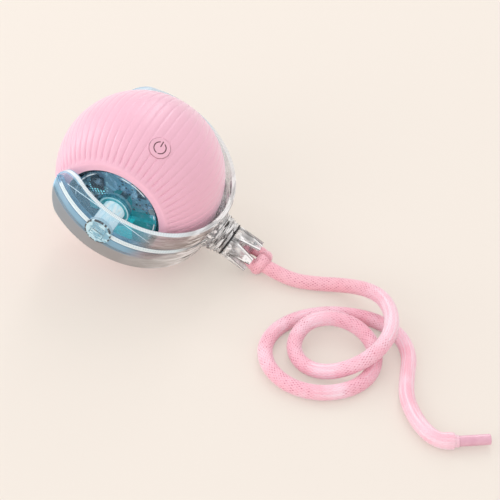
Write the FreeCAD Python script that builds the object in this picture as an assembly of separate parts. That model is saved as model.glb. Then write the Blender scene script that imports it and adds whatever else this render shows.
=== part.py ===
# Self-rolling cat ball: a ribbed silicone ball that drives itself round an axle, a clear bracket that
# hangs on that axle and drags behind, and a braided cord tail tied to a swivelling cap.
# Millimetres. Z is up and the origin is where the ball meets the floor. The axle lies along Y, with
# the window seen in the photograph at -Y, and the neck that carries the tail points to +X and down.

import FreeCAD, Part
import math
import os

V = FreeCAD.Vector

# Ball, sleeve and shells
BALL_R = 30.0                   # outside of the silicone sleeve, which rolls on the floor
FACE_CUT = 7.9                  # cut off each side of the ball, down to the flat ring round the window
WINDOW_R = 17.5                 # window in the sleeve
SLEEVE_WALL = 2.1
RING_WALL = 1.7                 # sleeve where it folds over the shell's flat end
WINDOW_EDGE_R = 0.5             # rounding of the window's edge
RIB_COUNT = 60
GROOVE_DEPTH = 0.55
GROOVE_WIDTH = 1.9              # across the groove's mouth
GROOVE_MARGIN = 2.6             # degrees from the flat ring to a groove's end
SLEEVE_FIT = 0.1                # between the sleeve and the shells
SHELL_WALL = 1.6
LIP_LENGTH = 1.2                # the front shell's lip inside the rear shell
LIP_FIT = 0.05

# Fits that several pieces share
KEY_FIT = 0.02                  # between pieces that are keyed, screwed or glued together
RUNNING_FIT = 0.05              # between a shaft and its bearing
JOIN = 0.5                      # how far two shapes of one piece run into each other

# Axle, bushes and pivot pins
AXLE_R = 1.5
AXLE_CHAMFER = 0.3
AXLE_CLEAR = 0.7                # between the axle and the plates that it passes through
AXLE_COVER = 2.0                # clear plastic between the axle's end and the pin's head
PIN_R = 4.15
PIN_HEAD_R = 4.9
PIN_HEAD_H = 1.9
PIN_HEAD_PROUD = 0.4            # how far the head stands out of the bracket's band
PIN_BITE = 0.2                  # how far the pin stops short of the shell's inside
BUSH_WALL = 1.3
BUSH_FLANGE_R = 6.6
BUSH_FLANGE_H = 0.8
BUSH_TAIL = 0.5                 # how far a bush stands into the ball
KEY_SLOT_W = 0.6
KEY_SLOT_L = 4.2
KEY_SLOT_GAP = 1.3
KEY_RING_W = 0.35
KEY_RING_SIDE = 5.4
KEY_DEPTH = 0.5

# Clear bracket, in its own frame: X along the neck, Y along the axle
NECK_TILT = 28.5                # degrees that the neck points below the horizontal
BAND_GAP = 0.6                  # between the ball and the band
BAND_WALL = 2.1
BAND_HALF_W = 10.3
BAND_EDGE_R = 0.5               # rounding of the band's long edges
BEAD_R = 0.35                   # half-round bead along the parting line
BAND_PAST_POLE = 43.5           # degrees that the band runs on past each axle pin
PARTING_A = 1.0                 # where the two bracket halves meet, above the axle's plane
WEB_T = 1.6
WEB_GAP = 2.1                   # from the ball's flat ring to the web's straight inner edge
NECK_FLARE_R = 8.6
NECK_FLARE_IN = 0.6             # how deep in the band the flare starts
NECK_ROOT_R = 6.9
NECK_ROOT_OUT = 1.3             # from the band's outside to the neck's root
SPIGOT_R = 4.8

# Neck nut, seal and swivel cap
NUT_LARGE_R = 7.4
NUT_SMALL_R = 6.3
NUT_LENGTH = 4.6
NUT_GROOVES = 3
NUT_GROOVE_DEPTH = 0.45
NUT_GROOVE_W = 0.7
SEAL_T = 0.4
SEAL_GAP = 0.15
CAP_R = 6.25
CAP_BASE_T = 2.0
CAP_LENGTH = 10.2
CAP_BORE_R = 4.5
CAP_CHAMFER = 0.4
PRONG_COUNT = 6
NOTCH_MOUTH_W = 3.8
NOTCH_ROOT_W = 0.8
NOTCH_DEPTH = 7.6
SWIVEL_R = 1.5
SWIVEL_LENGTH = 8.0
SWIVEL_HEAD_R = 2.6
SWIVEL_HEAD_H = 1.1
SWIVEL_HEAD_ROUND = 0.4
SWIVEL_SLOT_W = 0.6

# Power button and its switch
BUTTON_AIM = V(0.461, -0.360, 0.811).normalize()
BUTTON_R = 3.65
BUTTON_PROUD = 0.15
BUTTON_CROWN = 0.25
BUTTON_FLANGE_R = 4.7
BUTTON_FLANGE_H = 0.8
BUTTON_STOP_GAP = 0.1           # between the button's flange and the shell's inside
BUTTON_FIT = 0.15
BUTTON_TRAVEL = 0.5
SYMBOL_R = 2.1
SYMBOL_W = 0.4
SYMBOL_DEPTH = 0.25
SYMBOL_BAR_START = 0.35         # from the button's middle
SYMBOL_BAR_END = 2.6
SYMBOL_NICK = 0.45              # the small break in the ring, across from the bar
SWITCH_GAP = 0.1                # left between the pressed button and the switch
SWITCH_SIDE = 4.4
SWITCH_H = 1.6
SWITCH_CAP_R = 1.2
SWITCH_CAP_H = 0.9
SWITCH_BOARD_SIDE = 9.0
SWITCH_BOARD_T = 1.0
SWITCH_ARM_REACH = 15.5         # from the ball's centre to the elbow of the switch's arm

# Gear train, module and teeth
MODULE = 0.5
PRESSURE_ANGLE = 20.0
TOOTH_TIP = 0.9                 # a tooth's height over the pitch circle, in modules
TOOTH_ROOT = 1.25               # a gap's depth under the pitch circle, in modules
FLANK_STEPS = 2                 # straight stretches along one tooth flank
AXLE_TEETH = 36
IDLER_SMALL = 12
IDLER_LARGE = 24
PINION_TEETH = 12
BACKLASH = 0.12
MESH_EXTRA = 0.06               # centre distances are this much over the pitch circles
GEAR_T = 2.2
GEAR_GAP = 0.4
GEAR_HUB_R = 3.2
IDLER_PIN_R = 0.75

# Chassis and gearbox
CHASSIS_FIT = 0.1
PLATE_T = 1.6
SHELF_Z = -9.4                  # underside of the shelf
SHELF_T = 1.4
SHELF_HALF_W = 14.0
COVER_GAP = 1.6                 # between the second gear and the cover
COVER_T = 1.2
COVER_SPACE = 2.6               # between the cover and the shell's flat rear wall
COVER_CLEAR = 1.4               # between the cover's rim and the shell
POST_R = 2.0
SCREW_R = 0.8
SCREW_HEAD_R = 1.5
SCREW_HEAD_H = 0.8
SCREW_BITE = 5.0
POST_EDGE = 2.24                # from a post's middle to the cover's rim
POST_ANGLES = [21.2, 83.1, -75.5]

# Motor, beside the axle, and battery, under the shelf
MOTOR_X = -13.4
MOTOR_Z = -0.8
MOTOR_R = 6.0
MOTOR_FLAT = 5.0                # half the distance between the motor can's flats
MOTOR_LENGTH = 16.0
MOTOR_BOSS_R = 2.4
MOTOR_BOSS_H = 1.0
MOTOR_END_H = 0.8               # rear bearing's boss
MOTOR_SHAFT_R = 0.75
MOTOR_SHAFT_IN = 5.5            # the shaft's length inside the can
BATTERY_W = 20.0
BATTERY_FRONT = 2.8             # between the battery and the shell's flat front wall
BATTERY_H = 7.0
BATTERY_ROUND = 1.5
BATTERY_GAP = 0.4               # between the battery and the gear plate
BATTERY_FIT = 0.05              # between the battery and its tray
CLIP_T = 1.2
CLIP_W = 6.0
CLIP_FOOT = 2.0                 # how far a clip's foot reaches under the battery

# Circuit board, across the front of the ball
BOARD_SPACE = 4.1               # between the board and the shell's flat front wall
BOARD_T = 1.6
BOARD_CLEAR = 1.05              # between the board's rim and the shell
BOARD_LOW_Z = -3.6
BOARD_HUB_R = 4.0
VIA_R = 0.6                     # plated holes, six-sided, to their corners
VIA_PITCH = 2.54
VIA_ROWS = 2
VIA_COLUMNS = 7
VIA_START = V(-8.2, 0, 11.6)
BOARD_LOW_SCREW = V(12.0, 0, -1.2)
BOARD_TOP_SCREW_EDGE = 3.08     # from the top screw's middle to the board's rim
BOARD_NOTCH = 0.5               # between the board and the switch's board
BOARD_SCREW_BITE = 2.0          # screw in the lug, behind the board
LUG_T = 2.4
CHIPS = [(9.5, 6.0, 3.0, 2.2, 1.1), (-9.0, 5.0, 2.4, 2.4, 0.9), (11.0, 12.0, 2.2, 1.4, 2.0)]
LAMP_R = 1.1
LAMP_H = 0.8
LAMPS = [(-14.5, 3.0), (14.8, 3.0)]

# Charging port in the flat rear face
PORT_W = 9.0
PORT_H = 3.3
PORT_LENGTH = 6.5
PORT_WALL = 0.35
PORT_BACK = 1.0                 # the socket's back wall
PORT_POST_GAP = 0.15            # between the socket's cradle and the post above it
TONGUE_W = 6.4
TONGUE_T = 0.7
TONGUE_BACK = 0.8               # how far the tongue stops behind the mouth
CRADLE_WALL = 1.2
CRADLE_GAP = 0.3                # between the socket's cradle and the shell

# Cord tail: its route on the floor, chosen by hand along its middle
CORD_D = 5.2
CORD_FLOOR = 0.05               # between the cord and the floor
LAY = CORD_D / 2 + CORD_FLOOR   # height of the cord's middle where it lies on the floor
KNOT_OUT = 3.18                 # from the cap's end to the middle of the wrap
WRAP_R = 2.8
WRAP_CORD_R = 2.25
LEG_R = 1.8                     # the cord is squeezed where it is doubled in the cap
CORD_PIN_R = 0.6
CORD_PIN_FIT = 0.1              # between the pin and the cord's bight
CORD_PIN_BACK = 2.52            # from the cap's end back to the pin that the cord's bight goes round
CORD_EXIT = V(50.4, -1.1, 4.0)
STUB_LENGTH = 4.0               # the cord's last stretch inside the wrap
TIP_R = 1.75
TIP_LENGTH = 10.4
TIP_ROUND = 0.4
MEASURE_STEP = 1.0              # spacing of the points on which the cord's gap is measured
CORD_ROUTE = [
    CORD_EXIT,
    V(58.2, -2.3, LAY),
    V(68.0, -0.4, LAY),
    V(77.4, 1.8, 3.7),
    V(86.6, -0.5, 7.3),
    V(94.6, -5.9, 10.6),
    V(100.3, -13.4, 11.1),
    V(102.6, -22.2, 11.1),
    V(100.8, -30.8, 9.8),
    V(94.2, -37.0, 6.0),
    V(85.4, -40.4, 3.2),
    V(76.6, -38.6, LAY),
    V(71.2, -31.6, 3.3),
    V(72.6, -23.3, 6.2),
    V(79.6, -18.4, 7.4),
    V(88.2, -17.0, 5.8),
    V(95.6, -19.8, 3.4),
    V(99.9, -27.0, LAY),
    V(100.6, -35.8, LAY),
    V(96.2, -43.6, LAY),
    V(88.0, -48.8, LAY),
    V(78.2, -49.7, LAY),
    V(69.0, -45.6, LAY),
    V(63.2, -37.8, LAY),
    V(62.7, -28.4, LAY),
    V(67.2, -19.9, LAY),
    V(75.0, -13.4, LAY),
    V(84.6, -10.0, LAY),
    V(94.6, -9.4, LAY),
    V(103.6, -13.0, LAY),
    V(109.6, -20.8, LAY),
    V(111.8, -30.2, LAY),
    V(114.4, -38.6, LAY),
    V(118.8, -44.8, LAY),
    V(123.4, -49.2, LAY),
    V(127.9, -51.9, LAY),
    V(132.2, -52.2, LAY),
    V(136.0, -50.2, LAY),
]

# Sizes that follow from the ones above
CENTRE = V(0, 0, BALL_R)
FACE_Y = BALL_R - FACE_CUT
SHELL_R = BALL_R - SLEEVE_WALL - SLEEVE_FIT
SHELL_IN_R = SHELL_R - SHELL_WALL
SHELL_FACE_Y = FACE_Y - RING_WALL - SLEEVE_FIT
SHELL_IN_Y = SHELL_FACE_Y - SHELL_WALL
BUSH_BORE_R = PIN_R + RUNNING_FIT
BUSH_R = BUSH_BORE_R + BUSH_WALL
BAND_IN_R = BALL_R + BAND_GAP
BAND_OUT_R = BAND_IN_R + BAND_WALL
PIN_HEAD_Y = BAND_OUT_R + PIN_HEAD_PROUD
PIN_SHOULDER_Y = PIN_HEAD_Y - PIN_HEAD_H
PIN_INNER_Y = SHELL_IN_Y + PIN_BITE
AXLE_END_Y = PIN_SHOULDER_Y - AXLE_COVER
WEB_EDGE_Y = FACE_Y + WEB_GAP
NECK_ROOT_X = BAND_OUT_R + NECK_ROOT_OUT
NUT_X = NECK_ROOT_X + KEY_FIT
NUT_END_X = NUT_X + NUT_LENGTH
SEAL_X = NUT_END_X + SEAL_GAP
CAP_X = SEAL_X + SEAL_T + SEAL_GAP
CAP_FLOOR_X = CAP_X + CAP_BASE_T
CAP_END_X = CAP_X + CAP_LENGTH
SWIVEL_HEAD_X = CAP_FLOOR_X + RUNNING_FIT
SWIVEL_START_X = SWIVEL_HEAD_X - SWIVEL_LENGTH
CORD_PIN_X = CAP_END_X - CORD_PIN_BACK
KNOT_X = CAP_END_X + KNOT_OUT
BUTTON_TOP = BALL_R + BUTTON_PROUD
BUTTON_FLANGE_TOP = math.sqrt(SHELL_IN_R ** 2 - BUTTON_FLANGE_R ** 2) - BUTTON_STOP_GAP
BUTTON_FOOT = BUTTON_FLANGE_TOP - BUTTON_FLANGE_H
SWITCH_TOP = BUTTON_FOOT - BUTTON_TRAVEL - SWITCH_GAP - SWITCH_CAP_H
SWITCH_BOARD_TOP = SWITCH_TOP - SWITCH_H
IDLER_REACH = (AXLE_TEETH + IDLER_SMALL) * MODULE / 2 + MESH_EXTRA
PINION_REACH = (IDLER_LARGE + PINION_TEETH) * MODULE / 2 + MESH_EXTRA
COVER_BACK_Y = SHELL_IN_Y - COVER_SPACE
COVER_Y = COVER_BACK_Y - COVER_T
SECOND_GEAR_Y = COVER_Y - COVER_GAP - GEAR_T
GEAR_Y = SECOND_GEAR_Y - GEAR_GAP - GEAR_T
PLATE_BACK_Y = GEAR_Y - GEAR_GAP
PLATE_Y = PLATE_BACK_Y - PLATE_T
COVER_R = math.sqrt((SHELL_IN_R - COVER_CLEAR) ** 2 - COVER_BACK_Y ** 2)
COVER_POSTS = [((COVER_R - POST_EDGE) * math.cos(math.radians(a)),
                (COVER_R - POST_EDGE) * math.sin(math.radians(a))) for a in POST_ANGLES]
PORT_Z = COVER_POSTS[1][1] - POST_R - PORT_POST_GAP - CRADLE_WALL - PORT_H / 2
BOARD_Y = BOARD_SPACE - SHELL_IN_Y
BOARD_BACK_Y = BOARD_Y + BOARD_T
BOARD_R = math.sqrt((SHELL_IN_R - BOARD_CLEAR) ** 2 - BOARD_Y ** 2)
BOARD_SCREWS = [(-BOARD_LOW_SCREW.x, BOARD_LOW_SCREW.z), (BOARD_LOW_SCREW.x, BOARD_LOW_SCREW.z),
                (0.0, BOARD_R - BOARD_TOP_SCREW_EDGE)]
BATTERY_TOP_Z = SHELF_Z - BATTERY_FIT
BATTERY_END_Y = PLATE_Y - BATTERY_GAP
BATTERY_START_Y = BATTERY_FRONT - SHELL_IN_Y
BATTERY_Y = (BATTERY_START_Y + BATTERY_END_Y) / 2


# Shapes that several pieces share

def at_centre(shape):
    """Moves a shape modelled round the ball's centre to its place above the floor."""
    shape.translate(CENTRE)
    return shape


def y_rod(radius, y_from, y_to, x=0.0, z=0.0):
    """A round bar along the axle's direction."""
    return Part.makeCylinder(radius, y_to - y_from, V(x, y_from, z), V(0, 1, 0))


def y_tube(outer, inner, y_from, y_to, x=0.0, z=0.0):
    return y_rod(outer, y_from, y_to, x, z).cut(y_rod(inner, y_from - 1, y_to + 1, x, z))


def x_rod(radius, x_from, x_to, y=0.0, z=0.0):
    return Part.makeCylinder(radius, x_to - x_from, V(x_from, y, z), V(1, 0, 0))


def block(x0, x1, y0, y1, z0, z1):
    return Part.makeBox(x1 - x0, y1 - y0, z1 - z0, V(x0, y0, z0))


def turned(edges_points, axis):
    """A solid of revolution from a list of corners, where a triple of points is an arc."""
    edges = []
    for item in edges_points:
        if len(item) == 3:
            edges.append(Part.Arc(*item).toShape())
        else:
            edges.append(Part.LineSegment(*item).toShape())
    face = Part.Face(Part.Wire(edges))
    return face.revolve(V(0, 0, 0), axis, 360)


def ball_slice(radius, half_y):
    """A ball cut flat at both ends of the axle."""
    return Part.makeSphere(radius).common(
        block(-2 * radius, 2 * radius, -half_y, half_y, -2 * radius, 2 * radius))


def along(shape, aim, distance):
    """Stands a shape modelled along Z out from the ball's centre in a direction."""
    shape.Placement = FreeCAD.Placement(aim * distance, FreeCAD.Rotation(V(0, 0, 1), aim))
    return at_centre(shape)


def one(shape):
    """The single solid of a boolean result, or the whole where there are more."""
    shape = shape.removeSplitter()
    return shape.Solids[0] if len(shape.Solids) == 1 else shape


# Sleeve and shells

def groove_cutter(turn):
    """A V section swept along one meridian, from beside one flat ring to beside the other."""
    pole_angle = math.degrees(math.acos(FACE_Y / BALL_R)) + GROOVE_MARGIN
    reach = BALL_R + GROOVE_DEPTH
    half = GROOVE_WIDTH / 2 * (reach - BALL_R + GROOVE_DEPTH) / GROOVE_DEPTH
    corners = [V(BALL_R - GROOVE_DEPTH, 0, 0), V(reach, 0, half), V(reach, 0, -half)]
    face = Part.Face(Part.makePolygon(corners + corners[:1]))
    face.rotate(V(0, 0, 0), V(0, 0, 1), -(90 - pole_angle))
    cutter = face.revolve(V(0, 0, 0), V(0, 0, 1), 2 * (90 - pole_angle))
    cutter.rotate(V(0, 0, 0), V(0, 1, 0), turn)
    return cutter


def button_bore():
    """The round hole for the button, through the sleeve and the shells."""
    return along(Part.makeCylinder(BUTTON_R + BUTTON_FIT, BALL_R), BUTTON_AIM, BALL_R / 2)


def silicone_sleeve():
    """The ribbed sleeve, one piece, with a flat ring that folds over each end of the shells."""
    inner_r, inner_y = SHELL_R + SLEEVE_FIT, SHELL_FACE_Y + SLEEVE_FIT
    outer_edge = math.sqrt(BALL_R ** 2 - FACE_Y ** 2)
    inner_edge = math.sqrt(inner_r ** 2 - inner_y ** 2)
    sleeve = turned([
        (V(outer_edge, -FACE_Y, 0), V(BALL_R, 0, 0), V(outer_edge, FACE_Y, 0)),
        (V(outer_edge, FACE_Y, 0), V(WINDOW_R, FACE_Y, 0)),
        (V(WINDOW_R, FACE_Y, 0), V(WINDOW_R, inner_y, 0)),
        (V(WINDOW_R, inner_y, 0), V(inner_edge, inner_y, 0)),
        (V(inner_edge, inner_y, 0), V(inner_r, 0, 0), V(inner_edge, -inner_y, 0)),
        (V(inner_edge, -inner_y, 0), V(WINDOW_R, -inner_y, 0)),
        (V(WINDOW_R, -inner_y, 0), V(WINDOW_R, -FACE_Y, 0)),
        (V(WINDOW_R, -FACE_Y, 0), V(outer_edge, -FACE_Y, 0)),
    ], V(0, 1, 0))
    rims = [e for e in sleeve.Edges
            if isinstance(e.Curve, Part.Circle) and abs(e.Curve.Radius - WINDOW_R) < 0.01
            and abs(abs(e.Curve.Center.y) - FACE_Y) < 0.01]
    sleeve = sleeve.makeFillet(WINDOW_EDGE_R, rims)
    grooves = [groove_cutter(360.0 * (k + 0.5) / RIB_COUNT) for k in range(RIB_COUNT)]
    sleeve = at_centre(sleeve.cut(grooves))
    return one(sleeve.cut(button_bore()))


def hollow_shell():
    shell = ball_slice(SHELL_R, SHELL_FACE_Y).cut(ball_slice(SHELL_IN_R, SHELL_IN_Y))
    return shell.cut(y_rod(BUSH_R + KEY_FIT, -BALL_R, BALL_R))


def lip_ring(extra):
    """The band of wall that the front shell's lip takes up inside the rear shell."""
    middle = SHELL_IN_R + SHELL_WALL / 2 + extra
    return y_tube(middle, SHELL_IN_R - 1, 0, LIP_LENGTH + extra)


def front_shell():
    """The clear half shell with the window seen in the photograph, and the joint's lip."""
    shell = hollow_shell()
    half = shell.common(block(-BALL_R, BALL_R, -BALL_R, 0, -BALL_R, BALL_R))
    half = half.fuse(shell.common(lip_ring(0)))
    return one(at_centre(half).cut(button_bore()))


def rear_shell():
    """The other clear half shell, rebated for the lip, with the charging port's opening."""
    shell = hollow_shell()
    half = shell.common(block(-BALL_R, BALL_R, 0, BALL_R, -BALL_R, BALL_R)).cut(lip_ring(LIP_FIT))
    half = half.cut(port_outline(PORT_W / 2 + KEY_FIT, PORT_H / 2 + KEY_FIT, SHELL_IN_Y - 1, BALL_R))
    return one(at_centre(half).cut(button_bore()))


def bush(side):
    """A flanged plain bearing in the middle of a shell's flat end."""
    sleeve = y_tube(BUSH_R, BUSH_BORE_R, SHELL_IN_Y - BUSH_TAIL, SHELL_FACE_Y + BUSH_FLANGE_H)
    flange = y_tube(BUSH_FLANGE_R, BUSH_BORE_R, SHELL_FACE_Y, SHELL_FACE_Y + BUSH_FLANGE_H)
    whole = sleeve.fuse(flange)
    if side < 0:
        whole.rotate(V(0, 0, 0), V(0, 0, 1), 180)
    return one(at_centre(whole))


# Axle and pivot pins

def axle():
    """The steel shaft that joins both pivot pins through the ball."""
    shaft = y_rod(AXLE_R, -AXLE_END_Y, AXLE_END_Y)
    ends = [e for e in shaft.Edges if isinstance(e.Curve, Part.Circle)]
    return at_centre(shaft.makeChamfer(AXLE_CHAMFER, ends))


def pivot_pin(side):
    """A clear pin with a broad head, whose outer face has a key outline and three slots."""
    pin = y_rod(PIN_R, PIN_INNER_Y, PIN_SHOULDER_Y).fuse(y_rod(PIN_HEAD_R, PIN_SHOULDER_Y, PIN_HEAD_Y))
    pin = pin.cut(y_rod(AXLE_R + KEY_FIT, PIN_INNER_Y - 1, AXLE_END_Y + KEY_FIT))
    half, inner = KEY_RING_SIDE / 2, KEY_RING_SIDE / 2 - KEY_RING_W
    floor_y = PIN_HEAD_Y - KEY_DEPTH
    ring = block(-half, half, floor_y, PIN_HEAD_Y + 1, -half, half)
    ring = ring.cut(block(-inner, inner, floor_y, PIN_HEAD_Y + 1, -inner, inner))
    pin = pin.cut(ring)
    for k in (-1, 0, 1):
        middle = k * KEY_SLOT_GAP
        pin = pin.cut(block(-KEY_SLOT_L / 2, KEY_SLOT_L / 2, floor_y, PIN_HEAD_Y + 1,
                            middle - KEY_SLOT_W / 2, middle + KEY_SLOT_W / 2))
    if side < 0:
        pin.rotate(V(0, 0, 0), V(0, 0, 1), 180)
    return in_bracket(one(pin))


# Bracket and neck

def in_bracket(shape):
    """Turns a shape modelled along the neck into the neck's direction, at the ball's centre."""
    shape.rotate(V(0, 0, 0), V(0, 1, 0), NECK_TILT)
    return at_centre(shape)


def band_end_cutter(side):
    """What rounds one end of the band, seen along the radius through the rounding's middle."""
    back = math.degrees(BAND_HALF_W / BAND_OUT_R)
    middle = math.radians(BAND_PAST_POLE - back)
    aim = V(-math.sin(middle), side * math.cos(middle), 0)
    tangent = V(-math.cos(middle), -side * math.sin(middle), 0)
    corner = block(0, BALL_R, -BALL_R, BALL_R, BAND_IN_R / 2, BAND_OUT_R + 5)
    corner = corner.cut(Part.makeCylinder(BAND_HALF_W, BAND_OUT_R + 10, V(0, 0, 0), V(0, 0, 1)))
    across = aim.cross(tangent)
    turn = FreeCAD.Matrix(tangent.x, across.x, aim.x, 0, tangent.y, across.y, aim.y, 0,
                          tangent.z, across.z, aim.z, 0, 0, 0, 0, 1)
    return corner.transformed(turn)


def band_ring():
    """A full ring with rounded edges and a bead round its outside along the parting line."""
    ring = Part.makeCylinder(BAND_OUT_R, 2 * BAND_HALF_W, V(0, 0, -BAND_HALF_W))
    ring = ring.cut(Part.makeCylinder(BAND_IN_R, 4 * BAND_HALF_W, V(0, 0, -2 * BAND_HALF_W)))
    rims = [e for e in ring.Edges if isinstance(e.Curve, Part.Circle)]
    ring = ring.makeFillet(BAND_EDGE_R, rims)
    return ring.fuse(Part.makeTorus(BAND_OUT_R, BEAD_R, V(0, 0, PARTING_A)))


def whole_band():
    """The C-shaped band round the ball, before it is parted into its two halves."""
    ring = band_ring()
    past = math.radians(BAND_PAST_POLE)
    far = 2 * BAND_OUT_R
    low, high = (V(-far * math.sin(past), s * far * math.cos(past), 0) for s in (-1, 1))
    opening = Part.Face(Part.makePolygon([V(0, 0, 0), low, V(-far, -far, 0), V(-far, far, 0), high,
                                          V(0, 0, 0)]))
    opening.translate(V(0, 0, -far))
    band = ring.cut(opening.extrude(V(0, 0, 2 * far)))
    return band.cut(band_end_cutter(-1)).cut(band_end_cutter(1))


def neck_root():
    """The flare from the band into the neck, and the threaded spigot beyond it."""
    start = BAND_IN_R + NECK_FLARE_IN
    flare = Part.makeCone(NECK_FLARE_R, NECK_ROOT_R, NECK_ROOT_X - start, V(start, 0, 0), V(1, 0, 0))
    spigot = x_rod(SPIGOT_R, NECK_ROOT_X - JOIN, NUT_END_X)
    return flare.fuse(spigot).cut(Part.makeCylinder(BAND_IN_R, 4 * NECK_FLARE_R,
                                                    V(0, 0, -2 * NECK_FLARE_R)))


def web_plates():
    """The thin plate beside each pin, from a straight inner edge out to the band."""
    disc = Part.makeCylinder(BAND_IN_R + JOIN, WEB_T, V(0, 0, PARTING_A - WEB_T))
    keep = block(-BALL_R, BALL_R, WEB_EDGE_Y, BALL_R * 2, -BALL_R, BALL_R)
    keep = keep.fuse(block(-BALL_R, BALL_R, -BALL_R * 2, -WEB_EDGE_Y, -BALL_R, BALL_R))
    return disc.common(keep)


def pin_holes():
    """The hole and the counterbore for the head of each pivot pin."""
    hole = y_rod(PIN_R + KEY_FIT, -BALL_R * 2, BALL_R * 2)
    for side in (-1, 1):
        head = y_rod(PIN_HEAD_R + KEY_FIT, PIN_SHOULDER_Y - KEY_FIT, BALL_R * 2)
        if side < 0:
            head.rotate(V(0, 0, 0), V(0, 0, 1), 180)
        hole = hole.fuse(head)
    return hole


def bracket_half(upper):
    """One clear half of the bracket: band, half neck and, on the lower half, the web."""
    body = whole_band().fuse(neck_root())
    if not upper:
        body = body.fuse(web_plates())
    body = body.cut(pin_holes())
    body = body.cut(x_rod(SWIVEL_R + KEY_FIT, SWIVEL_START_X - KEY_FIT, NUT_END_X + 1))
    far = 4 * BALL_R
    low, high = (PARTING_A, far) if upper else (-far, PARTING_A)
    return in_bracket(one(body.common(block(-far, far, -far, far, low, high))))


def neck_nut():
    """The tapered nut that clamps both halves of the neck, with fine thread rings."""
    edges = [V(SPIGOT_R + KEY_FIT, NUT_X, 0), V(NUT_LARGE_R, NUT_X, 0)]
    slope = (NUT_SMALL_R - NUT_LARGE_R) / NUT_LENGTH
    pitch = NUT_LENGTH / (NUT_GROOVES + 1)
    for k in range(1, NUT_GROOVES + 1):
        for offset, depth in ((-NUT_GROOVE_W / 2, 0), (0, NUT_GROOVE_DEPTH), (NUT_GROOVE_W / 2, 0)):
            along_nut = k * pitch + offset
            edges.append(V(NUT_LARGE_R + slope * along_nut - depth, NUT_X + along_nut, 0))
    edges += [V(NUT_SMALL_R, NUT_END_X, 0), V(SPIGOT_R + KEY_FIT, NUT_END_X, 0)]
    face = Part.Face(Part.makePolygon(edges + edges[:1]))
    nut = face.revolve(V(0, 0, 0), V(0, 1, 0), 360)
    nut.rotate(V(0, 0, 0), V(0, 0, 1), -90)
    return in_bracket(nut)


def neck_seal():
    """The thin dark washer between the fixed neck and the swivelling cap."""
    ring = x_rod(NUT_SMALL_R, SEAL_X, SEAL_X + SEAL_T)
    return in_bracket(ring.cut(x_rod(SWIVEL_R + KEY_FIT, SEAL_X - 1, SEAL_X + 1)))


def swivel_screw():
    """The shouldered screw that the cap turns on."""
    shank = x_rod(SWIVEL_R, SWIVEL_START_X, SWIVEL_HEAD_X)
    head = x_rod(SWIVEL_HEAD_R, SWIVEL_HEAD_X, SWIVEL_HEAD_X + SWIVEL_HEAD_H)
    rim = [e for e in head.Edges if isinstance(e.Curve, Part.Circle) and e.Curve.Center.x > SWIVEL_HEAD_X]
    head = head.makeFillet(SWIVEL_HEAD_ROUND, rim)
    slot = block(SWIVEL_HEAD_X + SWIVEL_HEAD_H / 2, CAP_END_X, -SWIVEL_HEAD_R, SWIVEL_HEAD_R,
                 -SWIVEL_SLOT_W / 2, SWIVEL_SLOT_W / 2)
    return in_bracket(one(shank.fuse(head).cut(slot)))


def swivel_cap():
    """The clear crown that the cord is tied to: a base, a wall and V notches between prongs."""
    cap = x_rod(CAP_R, CAP_X, CAP_END_X)
    base_edge = [e for e in cap.Edges if isinstance(e.Curve, Part.Circle) and e.Curve.Center.x < CAP_FLOOR_X]
    cap = cap.makeChamfer(CAP_CHAMFER, base_edge)
    cap = cap.cut(x_rod(CAP_BORE_R, CAP_FLOOR_X, CAP_END_X + 1))
    cap = cap.cut(x_rod(SWIVEL_R + RUNNING_FIT, CAP_X - 1, CAP_END_X))
    cap = cap.cut(Part.makeCylinder(CORD_PIN_R + KEY_FIT, 4 * CAP_R, V(CORD_PIN_X, 0, -2 * CAP_R)))
    for k in range(PRONG_COUNT):
        root, mouth = NOTCH_ROOT_W / 2, NOTCH_MOUTH_W / 2
        start, end = CAP_END_X - NOTCH_DEPTH, CAP_END_X + 1
        outline = [V(start, -root, 0), V(end, -mouth, 0), V(end, mouth, 0), V(start, root, 0)]
        notch = Part.Face(Part.makePolygon(outline + outline[:1])).extrude(V(0, 0, CAP_R + 1))
        notch.rotate(V(0, 0, 0), V(1, 0, 0), 360.0 * (k + 0.5) / PRONG_COUNT)
        cap = cap.cut(notch)
    return in_bracket(one(cap))


# Power button and its switch

def power_button():
    """The round key in the sleeve, with an engraved line through a broken ring."""
    stem = Part.makeCylinder(BUTTON_R, BUTTON_TOP - BUTTON_FOOT, V(0, 0, BUTTON_FOOT))
    rim = [e for e in stem.Edges if isinstance(e.Curve, Part.Circle) and e.Curve.Center.z > BALL_R]
    stem = stem.makeFillet(BUTTON_CROWN, rim)
    flange = Part.makeCylinder(BUTTON_FLANGE_R, BUTTON_FLANGE_H, V(0, 0, BUTTON_FOOT))
    floor_z = BUTTON_TOP - SYMBOL_DEPTH
    ring = Part.makeCylinder(SYMBOL_R + SYMBOL_W / 2, 1, V(0, 0, floor_z))
    ring = ring.cut(Part.makeCylinder(SYMBOL_R - SYMBOL_W / 2, 1, V(0, 0, floor_z)))
    gap = block(-2 * SYMBOL_W, 2 * SYMBOL_W, 0, BUTTON_R, floor_z, BUTTON_TOP)
    gap = gap.fuse(block(-SYMBOL_NICK / 2, SYMBOL_NICK / 2, -BUTTON_R, 0, floor_z, BUTTON_TOP))
    bar = block(-SYMBOL_W / 2, SYMBOL_W / 2, SYMBOL_BAR_START, SYMBOL_BAR_END, floor_z, BUTTON_TOP)
    key = stem.fuse(flange).cut(ring.cut(gap)).cut(bar)
    return along(one(key), BUTTON_AIM, 0)


def tact_switch():
    """The push switch under the button, on its own small board."""
    half = SWITCH_SIDE / 2
    body = block(-half, half, -half, half, SWITCH_BOARD_TOP, SWITCH_TOP)
    plunger = Part.makeCylinder(SWITCH_CAP_R, SWITCH_CAP_H, V(0, 0, SWITCH_TOP))
    return along(one(body.fuse(plunger)), BUTTON_AIM, 0)


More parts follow.
